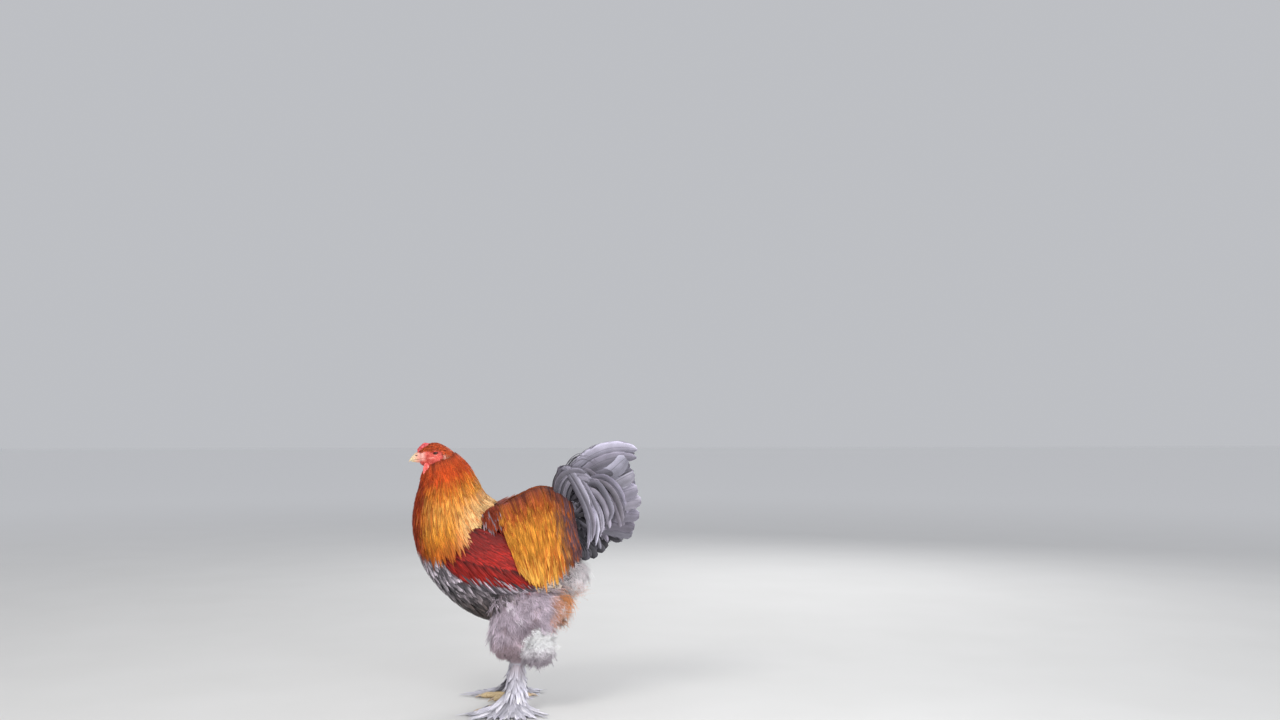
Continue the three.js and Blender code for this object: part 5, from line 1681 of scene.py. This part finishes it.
# %% [markdown]
# ## Head plumage
#
# The smallest feathers are on the head. Short rust feathers cover the crown, the nape and
# the throat, and a small tuft of reddish ones covers the ear.

# %% Crown, nape and throat
rng = np.random.default_rng(29)


def below_head(p):
    """How far a place lies below the line from throat to nape, in millimetres."""
    x, _, z = millimetres(p)
    return 588 + 0.463 * (x + 256) - z


rows = []
for region, spacing, low, high in ((["head", "neck"], 0.0020, -200, 2), (["neck", "head"], 0.0030, 0, 46)):
    roots, root_face = scatter(region, spacing, rng,
                               lambda p: (below_head(p) > low) & (below_head(p) < high) & (p[:, 2] > 0.53))
    fine = face_share(roots) < rng.uniform(0.25, 0.8, len(roots))
    roots, root_face = roots[fine], root_face[fine]
    grown = np.clip((below_head(roots) + 34) / 70, 0, 1)
    length = (0.0078 + 0.016 * grown) * rng.uniform(0.8, 1.2, len(roots))
    path, up = lay(roots, length, 5, 0.0004 + 0.002 * grown, 0.0012 + 0.002 * grown, rng,
                   sway=0.2, sink=0.0006)
    shade = vary(face_plumage[root_face], rng, 0.2)
    rows.append((path, up, shade, np.clip(shade * (1.2, 1.35, 1.2), 0, 1),
                 (0.0009 + 0.0010 * grown) * rng.uniform(0.75, 1.15, len(roots)), root_face))
paths, ups, colour, tips, half, root_face = join(*rows)
vanes("crown", paths, ups, half, LANCE, colour, colour * 0.6, root_face, rng,
      camber=0.15, thick=0.0003, fray=0.1, tip_colour=tips)


# %% Tuft at the ear
def at_ear(p):
    x, _, z = millimetres(p)
    return np.hypot((x + 199) / 7, (z - 617) / 6) < 1


roots, root_face = scatter(["head", "neck"], 0.0017, rng, at_ear)
length = 0.0095 * rng.uniform(0.7, 1.2, len(roots))
paths, ups = lay(roots, length, 4, 0.0004, 0.0042, rng, sway=0.4, sink=0.0006)
colour = np.tile((0.52, 0.24, 0.14), (len(roots), 1)) * rng.uniform(0.5, 1.2, (len(roots), 1))
vanes("ear_tuft", paths, ups, np.full(len(roots), 0.00045), LANCE, colour * 0.7, colour * 0.5,
      root_face, rng, camber=0.3, thick=0.0003, tip_colour=colour)
print("coat in all", sum(coat_triangles.values()), "triangles")

# %% [markdown]
# ## Materials
#
# Plumage is soft to light: a rough surface with some sheen. Its pattern follows each
# feather, so the material reads how far along and across the vane a point is: a streak at
# the quill, fine slanting barbs, a rim of another tone and a painted shade at the root,
# darker where the feathers above lie over it.

# %% Node tools
def node_tool(tree):
    """A function that adds a node to the tree, with its options and inputs: values or sockets."""
    def open_socket(sockets, key):
        if isinstance(key, int):
            return sockets[key]
        return next(socket for socket in sockets if socket.name == key and socket.enabled)

    def node(kind, inputs=None, **options):
        made = tree.nodes.new(kind)
        for key, value in options.items():
            setattr(made, key, value)
        for key, value in (inputs or {}).items():
            socket = open_socket(made.inputs, key)
            if isinstance(value, bpy.types.NodeSocket):
                tree.links.new(value, socket)
            else:
                socket.default_value = value
        return made

    return node


def new_material(name):
    """A material, its shader, its node tool and a tool that links two sockets."""
    material = bpy.data.materials.new(name)
    material.use_nodes = True
    tree = material.node_tree

    def link(a, b):
        tree.links.new(a, b)

    return material, tree.nodes["Principled BSDF"], node_tool(tree), link


def maths(node, operation, a, b=None):
    return node("ShaderNodeMath", {0: a} if b is None else {0: a, 1: b}, operation=operation).outputs[0]


def ranged(node, value, low, high, to_low=0.0, to_high=1.0):
    """A value turned smoothly from one range into another."""
    ends = {"Value": value, "From Min": low, "From Max": high, "To Min": to_low, "To Max": to_high}
    return node("ShaderNodeMapRange", ends, interpolation_type="SMOOTHSTEP").outputs["Result"]


def mixed(node, share, a, b):
    return node("ShaderNodeMix", {0: share, 6: a, 7: b}, data_type="RGBA").outputs[2]


def times(node, a, b):
    return maths(node, "MULTIPLY", a, b)


def plus(node, a, b):
    return maths(node, "ADD", a, b)


def vector_maths(node, operation, a, b=None, output=0):
    inputs = {0: a} if b is None else {0: a, 1: b}
    return node("ShaderNodeVectorMath", inputs, operation=operation).outputs[output]


def object_place(node):
    return node("ShaderNodeTexCoord").outputs["Object"]


def attribute(node, name, output="Color"):
    return node("ShaderNodeAttribute", attribute_name=name).outputs[output]


def noise(node, place, scale, detail):
    return node("ShaderNodeTexNoise", {"Vector": place, "Scale": scale, "Detail": detail}).outputs["Fac"]


def finished(given, colour, constants, height=None, strength=0.0, distance=0.0):
    """The material, once its colour, bump and constant inputs are on its shader."""
    material, shader, node, link = given
    link(colour, shader.inputs["Base Color"])
    for label, value in constants.items():
        shader.inputs[label].default_value = value
    if height is not None:
        bump_node = node("ShaderNodeBump", {"Height": height, "Strength": strength, "Distance": distance})
        link(bump_node.outputs[0], shader.inputs["Normal"])
    return material


print("node tools are ready")


# %% Feather finish
# Noise, in cells for each metre: the wobble of the barbs, large patches and dark flecks
GRAIN_SCALE, PATCHY_SCALE, FLECK_SCALE = 260.0, 38.0, 240.0


def feather_finish(name, streak=0.5, streak_width=0.16, rim=0.2, rim_gain=1.35, barbs=0.16, slant=9.0,
                   barb_count=70.0, roughness=0.55, sheen=0.2, root_shade=0.5, specular=0.35, tone=0.3,
                   slope=0.0, soft=0.0, spots=0.0):
    """A material that reads a vane's attributes: Lie, Plumage, Quill and, for down, Soft."""
    given = new_material(name)
    _, shader, node, link = given
    plumage, quill = attribute(node, "Plumage"), attribute(node, "Quill")
    along, across, seed = node("ShaderNodeSeparateXYZ", {0: attribute(node, "Lie", "Vector")}).outputs
    off = maths(node, "ABSOLUTE", across)
    shaft = times(node, ranged(node, off, 0.0, streak_width, 1.0, 0.0), streak)
    slanted = maths(node, "SUBTRACT", along, times(node, off, slant / barb_count * 2))
    place = object_place(node)
    grain = noise(node, place, GRAIN_SCALE, 3.0)
    phase = plus(node, times(node, slanted, barb_count * 6.283), times(node, grain, 6.0))
    barb = maths(node, "SINE", phase)
    barb_gain = plus(node, times(node, barb, barbs), 1.0)
    tone_gain = ranged(node, seed, 0.0, 1.0, 1.0 - tone / 2, 1.0 + tone / 2)
    # Painted shade at the root, where the feathers above lie over it.
    root_gain = ranged(node, along, 0.0, 0.55, 1.0 - root_shade, 1.0)
    rim_share = times(node, ranged(node, off, 0.55, 0.95), rim)
    patchy = noise(node, place, PATCHY_SCALE, 3.0)
    patch_gain = ranged(node, patchy, 0.3, 0.7, 0.86, 1.12)
    colour = mixed(node, shaft, plumage, quill)
    gain = times(node, times(node, barb_gain, tone_gain), times(node, root_gain, patch_gain))
    gain = times(node, gain, plus(node, times(node, rim_share, rim_gain), 1.0))
    if spots:
        fleck = noise(node, place, FLECK_SCALE, 1.0)
        gain = times(node, gain, ranged(node, fleck, 0.52, 0.58, 1.0, 1.0 - spots))
    # One rim lighter and the other darker: painted light and shade across the vane.
    if slope:
        gain = times(node, gain, ranged(node, across, -1.0, 1.0, 1.0 + slope, 1.0 - slope))
    scaled = node("ShaderNodeVectorMath", {0: colour}, operation="SCALE")
    link(gain, scaled.inputs["Scale"])
    height = plus(node, times(node, barb, 0.35), shaft)
    constants = {"Roughness": roughness, "Specular IOR Level": specular, "Sheen Weight": sheen,
                 "Sheen Roughness": 0.4}
    material = finished(given, scaled.outputs[0], constants, height, 0.35, 0.0004)
    if soft:
        outward = node("ShaderNodeVectorTransform", {"Vector": attribute(node, "Soft", "Vector")},
                       vector_type="NORMAL", convert_from="OBJECT", convert_to="WORLD").outputs[0]
        facing = node("ShaderNodeNewGeometry").outputs["Normal"]
        turned = node("ShaderNodeMix", {4: facing, 5: outward, 0: soft}, data_type="VECTOR").outputs[1]
        bump_node = shader.inputs["Normal"].links[0].from_node
        link(vector_maths(node, "NORMALIZE", turned), bump_node.inputs["Normal"])
    return material


finishes = {
    "hackle": feather_finish("hackle_sheen", streak=0.75, streak_width=0.34, rim=0.25, roughness=0.5,
                             sheen=0.0, specular=0.2, tone=0.25),
    "saddle": feather_finish("saddle_sheen", streak=0.6, streak_width=0.3, rim=0.25, roughness=0.65,
                             sheen=0.0, specular=0.06, tone=0.3),
    "breast": feather_finish("slate_feather", streak=0.7, streak_width=0.2, rim=0.5, rim_gain=0.8,
                             roughness=0.62, root_shade=0.7, tone=0.3),
    "wing": feather_finish("crimson_silk", streak=0.5, streak_width=0.3, rim=0.1, roughness=0.45, sheen=0.0,
                           specular=0.25, root_shade=0.6, tone=0.5),
    "bar": feather_finish("rimmed_covert", streak=0.5, rim=0.8, rim_gain=1.6, roughness=0.55, tone=0.25),
    "flight": feather_finish("flight_vane", streak=0.5, streak_width=0.1, rim=0.4, roughness=0.5, tone=0.3,
                             spots=0.75),
    "down": feather_finish("down", streak=0.1, rim=0.1, barbs=0.05, roughness=0.85, sheen=0.35, specular=0.1,
                           root_shade=0.35, tone=0.2, soft=0.6),
    "white": feather_finish("white_down", streak=0.05, rim=0.1, barbs=0.04, roughness=0.9, sheen=0.3,
                            specular=0.1, root_shade=0.1, tone=0.1, soft=0.5),
    "bristle": feather_finish("bristle", streak=0.1, rim=0.1, barbs=0.05, roughness=0.8, sheen=0.2,
                              specular=0.1, root_shade=0.2, tone=0.2),
    "leg": feather_finish("leg_feather", streak=0.5, streak_width=0.12, rim=0.15, roughness=0.65, tone=0.25),
    "tail": feather_finish("tail_vane", streak=0.6, streak_width=0.08, rim=0.5, rim_gain=0.8, barbs=0.2,
                           barb_count=70, slant=20, roughness=0.6, sheen=0.02, root_shade=0.3, tone=0.3,
                           slope=0.5),
}
# Finish, slot and the pieces of the coat that have them
COAT_LOOKS = [
    ("breast", "breast", "body"), ("wing", "wing", "wing_bow wing_points"), ("flight", "wing", "flights"),
    ("bar", "wing", "wing_bar"), ("hackle", "hackle", "hackle_upper hackle_lower crown"),
    ("saddle", "saddle", "saddle saddle_rear"), ("down", "pale_fluff", "rump"),
    ("down", "thigh_fluff", "over_left over_right thigh_left thigh_right"),
    ("white", "pale_fluff", "vent hock_left hock_right"), ("leg", "leg_feather", "shank feet"),
    ("tail", "tail", "tail_main tail_sickle tail_under tail_covert tail_curl tail_small"),
    ("tail", "tail", "tail_filament tail_roof"), ("bristle", "tail", "tail_fringe"),
    ("leg", "tail", "tail_cover"), ("bristle", "lobe", "ear_tuft"),
]


def finish_piece(made, material, slot, *replaced):
    """Says what a piece is made of, that it rides on the body and the nodes it replaces; the slot is not
    used.
    """
    made.data.materials.append(material)
    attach(made, "root")
    if replaced:
        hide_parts(*replaced)


for finish, slot, names in COAT_LOOKS:
    for name in names.split():
        finish_piece(coat[name], finishes[finish], slot)
print(len(finishes), "finishes on", len(coat), "pieces of the coat")

# %% [markdown]
# ## Bristles on the face
#
# The bare face of a cock carries many fine red hairs. They repeat over a surface, so a
# node tree makes them: it spreads points over the face, puts a thin cone at each, leans it
# along the lie of the coat, and writes the attributes that the finish reads.

# %% Ground for the bristles
def bristly(p):
    """Where bristles stand: on the bare face, but not on the slit between the lids."""
    x, _, z = millimetres(p)
    slit = np.hypot((x - EYE[0]) / 7.5, (z - EYE[2]) / 5)
    return (face_share(p) > 0.3) & (slit > 1)


head_faces = np.isin(face_region, [LABELS.index("head"), LABELS.index("neck")])
bare_faces = np.flatnonzero(head_faces & bristly(face_centre) & (face_centre[:, 2] > FACE_FLOOR))
used, corners = np.unique(face_points[bare_faces], return_inverse=True)
bristles = object_from("coat_bristles", skin_points[used], corners.reshape(-1, 3).tolist())
ways = lie_at(face_centre[bare_faces], face_normal[bare_faces])
patches = np.column_stack([face_uv[bare_faces], np.zeros(len(bare_faces))])
for label, values in (("Way", ways), ("Patch", patches)):
    stored = bristles.data.attributes.new(label, "FLOAT_VECTOR", "FACE")
    stored.data.foreach_set("vector", values.astype(np.float32).ravel())
print("bristles grow on", len(bare_faces), "faces of the skin")


# %% Node tree of the bristles
def bristle_tree():
    tree = bpy.data.node_groups.new("face_bristles", "GeometryNodeTree")
    face = tree.interface
    face.new_socket("Geometry", in_out="INPUT", socket_type="NodeSocketGeometry")
    for label, value in (("Spacing", 0.0016), ("Length", 0.0030), ("Radius", 0.00016), ("Lift", 0.28)):
        face.new_socket(label, in_out="INPUT", socket_type="NodeSocketFloat").default_value = value
    face.new_socket("Seed", in_out="INPUT", socket_type="NodeSocketInt").default_value = 5
    face.new_socket("Finish", in_out="INPUT", socket_type="NodeSocketMaterial")
    face.new_socket("Geometry", in_out="OUTPUT", socket_type="NodeSocketGeometry")
    node = node_tool(tree)
    given = node("NodeGroupInput").outputs

    def named_value(label, kind):
        return node("GeometryNodeInputNamedAttribute", {"Name": label}, data_type=kind).outputs[0]

    def chosen(low, high, salt):
        seed = plus(node, given["Seed"], float(salt))
        made = node("FunctionNodeRandomValue", {"Min": low, "Max": high, "Seed": seed}, data_type="FLOAT")
        return next(socket for socket in made.outputs if socket.enabled)

    def stored(geometry, label, value, kind, domain):
        return node("GeometryNodeStoreNamedAttribute", {"Geometry": geometry, "Name": label, "Value": value},
                    data_type=kind, domain=domain).outputs[0]

    points = node("GeometryNodeDistributePointsOnFaces", {
        "Mesh": given["Geometry"], "Distance Min": given["Spacing"], "Density Max": 400000.0,
        "Seed": given["Seed"]}, distribute_method="POISSON")
    cone = node("GeometryNodeMeshCone", {
        "Vertices": 3, "Radius Top": 0.00003, "Radius Bottom": given["Radius"], "Depth": given["Length"]})
    height = node("ShaderNodeSeparateXYZ", {0: node("GeometryNodeInputPosition").outputs[0]}).outputs[2]
    along = maths(node, "DIVIDE", height, given["Length"])
    hair = stored(cone.outputs["Mesh"], "Along", along, "FLOAT", "POINT")
    hair = stored(hair, "Local", cone.outputs["UV Map"], "FLOAT_VECTOR", "CORNER")
    raised = node("ShaderNodeVectorMath", {0: points.outputs["Normal"]}, operation="SCALE")
    tree.links.new(given["Lift"], raised.inputs["Scale"])
    leaning = vector_maths(node, "ADD", named_value("Way", "FLOAT_VECTOR"), raised.outputs[0])
    turned = node("FunctionNodeAlignRotationToVector", {"Vector": leaning}, axis="Z").outputs[0]
    hairs = node("GeometryNodeInstanceOnPoints", {
        "Points": points.outputs["Points"], "Instance": hair, "Rotation": turned,
        "Scale": chosen(0.6, 1.3, 1)}).outputs[0]
    hairs = stored(hairs, "Pick", chosen(0.0, 1.0, 2), "FLOAT", "INSTANCE")
    hairs = node("GeometryNodeRealizeInstances", {"Geometry": hairs}).outputs[0]
    lie = node("ShaderNodeCombineXYZ", {0: named_value("Along", "FLOAT"), 2: named_value("Pick", "FLOAT")})
    hairs = stored(hairs, "Lie", lie.outputs[0], "FLOAT_VECTOR", "POINT")
    tint = mixed(node, named_value("Pick", "FLOAT"), (0.42, 0.05, 0.032, 1), (0.60, 0.16, 0.07, 1))
    for label in ("Plumage", "Quill"):
        hairs = stored(hairs, label, tint, "FLOAT_COLOR", "POINT")
    inner = vector_maths(node, "SUBTRACT", named_value("Local", "FLOAT_VECTOR"), (0.5, 0.5, 0))
    inner = vector_maths(node, "MULTIPLY", inner, (PATCH, PATCH, 0))
    place = vector_maths(node, "ADD", named_value("Patch", "FLOAT_VECTOR"), inner)
    hairs = stored(hairs, "OFBake", place, "FLOAT2", "CORNER")
    hairs = node("GeometryNodeSetMaterial", {"Geometry": hairs, "Material": given["Finish"]}).outputs[0]
    node("NodeGroupOutput", {"Geometry": hairs})
    return tree


grow = bristles.modifiers.new("grow", "NODES")
grow.node_group = bristle_tree()
for socket in grow.node_group.interface.items_tree:
    if socket.in_out == "INPUT" and socket.name == "Finish":
        grow[socket.identifier] = finishes["bristle"]
evaluated(bristles)
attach(bristles, "root")
print("coat_bristles:", len(bristles.data.polygons), "faces, layers",
      [layer.name for layer in bristles.data.uv_layers])

# %% [markdown]
# ## Skin finish
#
# Under the plumage the skin is only a ground of the same markings, darkened as painted
# shade where it shows between the feathers. On the face it is bare, red and finely pebbled,
# and on the toes it is yellow with overlapping scales.

# %% Skin material
def skin_finish():
    given = new_material("bird_skin")
    node = given[2]
    labels = ("Bare", "Toe", "Ground", "Blush", "Lid")
    bare, toe, share, paler, rim = [attribute(node, label, "Fac") for label in labels]
    place = object_place(node)
    pebble = node("ShaderNodeTexVoronoi", {"Vector": place, "Scale": 620.0}).outputs["Distance"]
    edges = node("ShaderNodeTexVoronoi", {"Vector": place, "Scale": 260.0}, feature="DISTANCE_TO_EDGE")
    scale = edges.outputs["Distance"]
    wrinkle, blotch = noise(node, place, 240.0, 5.0), noise(node, place, 70.0, 3.0)
    # The skin under the coat is darkened towards near-black: painted shade between the feathers.
    ground = mixed(node, share, (0.01, 0.008, 0.008, 1), attribute(node, "Plumage"))
    flush = mixed(node, ranged(node, blotch, 0.35, 0.65), (0.42, 0.026, 0.020, 1), (0.68, 0.090, 0.070, 1))
    # The skin is paler where the pebbles rise: a painted highlight on the bumps.
    flush = mixed(node, ranged(node, pebble, 0.35, 0.9, 0.0, 0.5), flush, (0.80, 0.22, 0.17, 1))
    flush = mixed(node, times(node, paler, 0.75), flush, (0.86, 0.42, 0.36, 1))
    horny = mixed(node, ranged(node, scale, 0.0, 0.12), (0.50, 0.36, 0.20, 1), (0.82, 0.64, 0.38, 1))
    # Near-black along the lids' edges at the slit: painted shade round the eye.
    flush = mixed(node, times(node, rim, 0.85), flush, (0.05, 0.008, 0.006, 1))
    colour = mixed(node, toe, mixed(node, bare, ground, flush), horny)
    height = plus(node, times(node, pebble, 0.6), times(node, wrinkle, 0.8))
    height = plus(node, height, times(node, ranged(node, scale, 0.0, 0.15), toe))
    return finished(given, colour, {"Roughness": 0.55, "Specular IOR Level": 0.4}, height, 0.6, 0.0006)


PAIRED = ["wing", "thigh", "hock_fluff", "shank", "foot"]
flesh = ["torso", "head", "neck", "saddle", "tail", "vent_fluff"]
flesh += [f"{name}_{side}" for name in PAIRED for side in ("left", "right")]
skin.data.materials.clear()
finish_piece(skin, skin_finish(), "face", *flesh)
print("the skin replaces", len(flesh), "nodes")

# %% [markdown]
# ## Eyes, beak, comb, wattles and claws
#
# These stay separate, as they do on the bird. The eye is a glossy ball with an iris drawn by
# its distance from the pupil. The beak is horn, drawn by two tapering half ovals. The comb,
# wattles and lobes are soft red skin: balls fused by a fine voxel remesh.

# %% Eyes
def ball_shape(centre, radii, around=40, down=24):
    """Points and faces of a ball in millimetres, with a point at its top and bottom."""
    ends = np.array([(0, 0, 1), (0, 0, -1)]) * radii + centre
    return tube(ball_rings(centre, radii, around, np.linspace(0, math.pi, down + 1)[1:-1]), ends, flip=True)


def eye_finish(name, side):
    given = new_material(name)
    node = given[2]
    place = object_place(node)
    # The pupil lies a little in front of the eye's middle
    gaze = metres((EYE[0] - 1.2, side * (EYE[1] + EYE[3]), EYE[2] + 0.2))
    gap = vector_maths(node, "DISTANCE", place, tuple(gaze), "Value")
    iris = mixed(node, noise(node, place, 900.0, 2.0), (0.07, 0.014, 0.005, 1), (0.22, 0.05, 0.012, 1))
    colour = mixed(node, ranged(node, gap, 0.0023, 0.0027), (0.003, 0.002, 0.002, 1), iris)
    colour = mixed(node, ranged(node, gap, 0.0037, 0.0043), colour, (0.02, 0.008, 0.006, 1))
    return finished(given, colour, {"Roughness": 0.10, "Specular IOR Level": 0.25, "Coat Weight": 0.45,
                                    "Coat Roughness": 0.02})


for name, side in (("left", LEFT), ("right", RIGHT)):
    points, faces = ball_shape((EYE[0], side * EYE[1], EYE[2]), EYE[3])
    eye = object_from("eyeball_" + name, metres(points), faces)
    eye.data.shade_smooth()
    finish_piece(eye, eye_finish("eye_" + name, side), "eye", "eye_" + name)
print("two eyes with a radius of", EYE[3], "mm")



# %% Beak
# Both halves: x, height of the flat side, rise over it and half width
UPPER_BEAK = [
    (-256, 609.4, 21.0, 12.6), (-262, 609.3, 20.6, 11.8), (-267, 609.2, 19.6, 10.6), (-271, 609.0, 18.0, 9.5),
    (-275, 608.7, 16.0, 8.3), (-279, 608.1, 13.6, 7.0), (-282.5, 607.1, 11.0, 5.6), (-286, 605.7, 8.0, 4.1),
    (-288.6, 604.2, 5.4, 2.9), (-290.4, 602.8, 3.1, 1.8), (-291.5, 601.6, 1.5, 0.9),
]
LOWER_BEAK = [
    (-256, 609.0, -9.6, 10.4), (-263, 608.9, -8.9, 9.6), (-269, 608.7, -8.2, 8.4), (-275, 608.3, -7.0, 6.9),
    (-279, 607.7, -5.8, 5.4), (-282.5, 606.8, -4.5, 3.9), (-285, 605.9, -3.0, 2.4),
]


def horn_finish(name, first, last, base, tip, nostrils):
    """Horn that turns from the base's colour to the tip's between two places along the bird."""
    given = new_material(name)
    node = given[2]
    place = object_place(node)
    reach = ranged(node, node("ShaderNodeSeparateXYZ", {0: place}).outputs[0], last, first)
    offset = vector_maths(node, "ADD", place, (0.2675, 0, -0.6182))
    flat = vector_maths(node, "MULTIPLY", offset, (300, 0, 640))
    nostril = vector_maths(node, "LENGTH", flat, output="Value")
    streaks = node("ShaderNodeMapping", {"Vector": place, "Scale": (60.0, 420.0, 420.0)}).outputs[0]
    grain = noise(node, streaks, 1.4, 4.0)
    colour = mixed(node, reach, tip + (1,), base + (1,))
    colour = mixed(node, ranged(node, grain, 0.42, 0.7, 0.0, 0.35), colour, (0.46, 0.27, 0.13, 1))
    # The nostril is painted near-black: painted shade in its hollow.
    if nostrils:
        colour = mixed(node, ranged(node, nostril, 0.5, 1.1), (0.10, 0.035, 0.03, 1), colour)
    return finished(given, colour, {"Roughness": 0.34, "Specular IOR Level": 0.5, "Subsurface Weight": 0.15,
                                    "Subsurface Radius": (0.004, 0.002, 0.001)}, grain, 0.25, 0.0003)


horn = horn_finish("beak_horn", -0.259, -0.279, (0.82, 0.35, 0.28), (0.80, 0.66, 0.41), True)
claw_horn = horn_finish("claw_horn", 0.02, -0.12, (0.55, 0.44, 0.33), (0.55, 0.44, 0.33), False)


def beak_half(name, rows, node_name, nostrils=False):
    angle = np.linspace(0, math.pi, 28)
    edge = np.sign(np.cos(angle)) * np.abs(np.cos(angle)) ** 0.85
    inner = np.linspace(-1, 1, 8)[1:-1]
    rings = []
    for x, flat, rise, half in rows:
        upper = stack(x, half * edge, flat + rise * np.sin(angle) ** 0.9)
        palate = stack(x, half * 0.82 * inner, flat + np.sign(rise) * 0.9)
        rings.append(np.concatenate([upper, palate]))
    points, faces = tube(rings, [rings[0].mean(0), rings[-1].mean(0) - (0.5, 0, 0.3)])
    made = object_from(name, metres(points), faces)
    turn_outward(made)
    bm = bmesh.new()
    bm.from_mesh(made.data)
    bmesh.ops.subdivide_edges(bm, edges=bm.edges[:], cuts=1, use_grid_fill=True, smooth=0.6)
    if nostrils:
        for vert in bm.verts:
            x, y, z = np.array(vert.co) / MM - (CENTRE_X, 0, 0)
            gap = math.hypot((x + 272.5) / 3.4, (z - 618.2 - 0.2 * (x + 272.5)) / 1.5)
            vert.co.y -= math.copysign(2.2 * MM * max(0, 1 - gap**2), vert.co.y)
            ridge = math.hypot((x + 272) / 5.4, (z - 619.6) / 2.6)
            vert.co.y += math.copysign(0.8 * MM * max(0, 1 - (ridge - 0.9) ** 2 / 0.1), vert.co.y)
    bm.to_mesh(made.data)
    bm.free()
    made.data.shade_smooth()
    finish_piece(made, horn, "beak", node_name)
    print(name, len(made.data.polygons), "faces")


beak_half("upper_bill", UPPER_BEAK, "beak_upper", nostrils=True)
beak_half("lower_bill", LOWER_BEAK, "beak_lower")


# %% Comb, wattles and ear lobes
def comb_finish(name, deep, mid, high):
    given = new_material(name)
    node = given[2]
    place = object_place(node)
    grain = node("ShaderNodeTexVoronoi", {"Vector": place, "Scale": 900.0}).outputs["Distance"]
    soft = noise(node, place, 130.0, 4.0)
    colour = mixed(node, ranged(node, soft, 0.35, 0.65), deep + (1,), mid + (1,))
    # The third colour lies where the grain rises: a painted highlight on the soft skin.
    colour = mixed(node, ranged(node, grain, 0.4, 0.9, 0.0, 0.4), colour, high + (1,))
    return finished(given, colour, {"Roughness": 0.42, "Specular IOR Level": 0.5, "Subsurface Weight": 0.25,
                                    "Subsurface Radius": (0.006, 0.0015, 0.001)},
                    plus(node, grain, soft), 0.5, 0.0004)


red_skin = comb_finish("comb_skin", (0.48, 0.026, 0.030), (0.80, 0.105, 0.125), (0.88, 0.30, 0.31))
wattle_skin = comb_finish("wattle_skin", (0.66, 0.055, 0.048), (0.90, 0.16, 0.14), (0.95, 0.38, 0.34))
lobe_skin = comb_finish("lobe_skin", (0.42, 0.10, 0.07), (0.60, 0.26, 0.20), (0.72, 0.45, 0.36))
SOFT_VOXEL = 0.0007


def fused(name, balls, material, slot, replaced):
    """Balls (centre, radii) fused into one soft form."""
    points, faces = joined([ball_shape(centre, radii, 20, 12) for centre, radii in balls])
    made = object_from(name, metres(points), faces)
    fuse(made, SOFT_VOXEL)
    places = read(made.data.vertices, "co", 3)
    edges = read(made.data.edges, "vertices", 2, np.int32)
    made.data.vertices.foreach_set("co", softened(places, edges, 4, 0.5).ravel())
    made.data.update()
    made.data.shade_smooth()
    finish_piece(made, material, slot, replaced)
    print(name, len(places), "points")


rng = np.random.default_rng(31)
balls = []
for y, size, count in ((0, 4.2, 8), (-5.4, 3.2, 7), (5.4, 3.2, 7)):
    for i in range(count):
        share = i / (count - 1)
        hump = math.sin(share * math.pi)
        x = -268 + 26 * share
        radius = (size * 0.72 + 1.0 * hump) * rng.uniform(0.85, 1.1)
        z = head_at(x)[0] + (2.2 if y == 0 else -0.4) - 5.0 * share**2 + 2.4 * hump + rng.normal(0, 0.3)
        balls.append(((x, y + rng.normal(0, 0.3), z), (radius, radius, radius * 1.3)))
        balls.append(((x, y * 0.9, z - 4), (radius * 0.8, radius, radius * 1.2)))
fused("pea_comb", balls, red_skin, "comb", "comb")
for name, side in (("left", LEFT), ("right", RIGHT)):
    fused("wattle_skin_" + name, [
        ((-250, side * 17, 583), (5.2, 3.2, 12.5)), ((-247, side * 16.4, 592), (6.5, 4, 9)),
        ((-243, side * 19, 588), (5.2, 3.0, 9.5)), ((-251, side * 17.4, 576), (4.2, 3.0, 5.5)),
    ], wattle_skin, "comb", "wattle_" + name)
    fused("ear_skin_" + name, [
        ((-201, side * 23.4, 613), (3.8, 2.6, 6)), ((-200, side * 23.6, 608), (3.2, 2.4, 4.4)),
        ((-203, side * 23.2, 618), (2.8, 2.2, 2.6)),
    ], lobe_skin, "lobe", "earlobe_" + name)

# %% Claws
# How far past the toe's end, height and radius
CLAW_ROWS = [(-5, 6.6, 3.2), (-1, 6.9, 3.4), (3, 6.6, 3.1), (7, 5.6, 2.5), (10.5, 4.2, 1.8), (13, 2.9, 1.1),
             (14.6, 1.8, 0.5)]
parts = []
for side in (LEFT, RIGHT):
    for heading, length, _ in TOES:
        rows = [(length + ahead, z, r * 0.85, r) for ahead, z, r in CLAW_ROWS]
        parts.append(tube(toe_rings(side, heading, 14, rows)))
points, faces = joined(parts)
claws = object_from("claws", metres(points), faces)
turn_outward(claws)
claws.data.shade_smooth()
finish_piece(claws, claw_horn, "claw", *[f"claw_{toe}_{side}" for toe in ("inner", "middle", "outer", "hind")
                                         for side in ("left", "right")])
print(len(parts), "claws")


# %% Floor material
def floor_finish():
    given = new_material("pale_floor")
    node = given[2]
    place = object_place(node)
    near = mixed(node, noise(node, place, 3.0, 4.0), (0.66, 0.655, 0.64, 1), (0.72, 0.715, 0.705, 1))
    # The floor is painted brighter away from the bird: painted light that stands for a lit studio sweep.
    away = vector_maths(node, "LENGTH", place, output="Value")
    colour = mixed(node, ranged(node, away, 1.5, 9.0), near, (0.95, 0.95, 0.95, 1))
    return finished(given, colour, {"Roughness": 0.8})


floor.data.materials.append(floor_finish())
print("a pale floor")
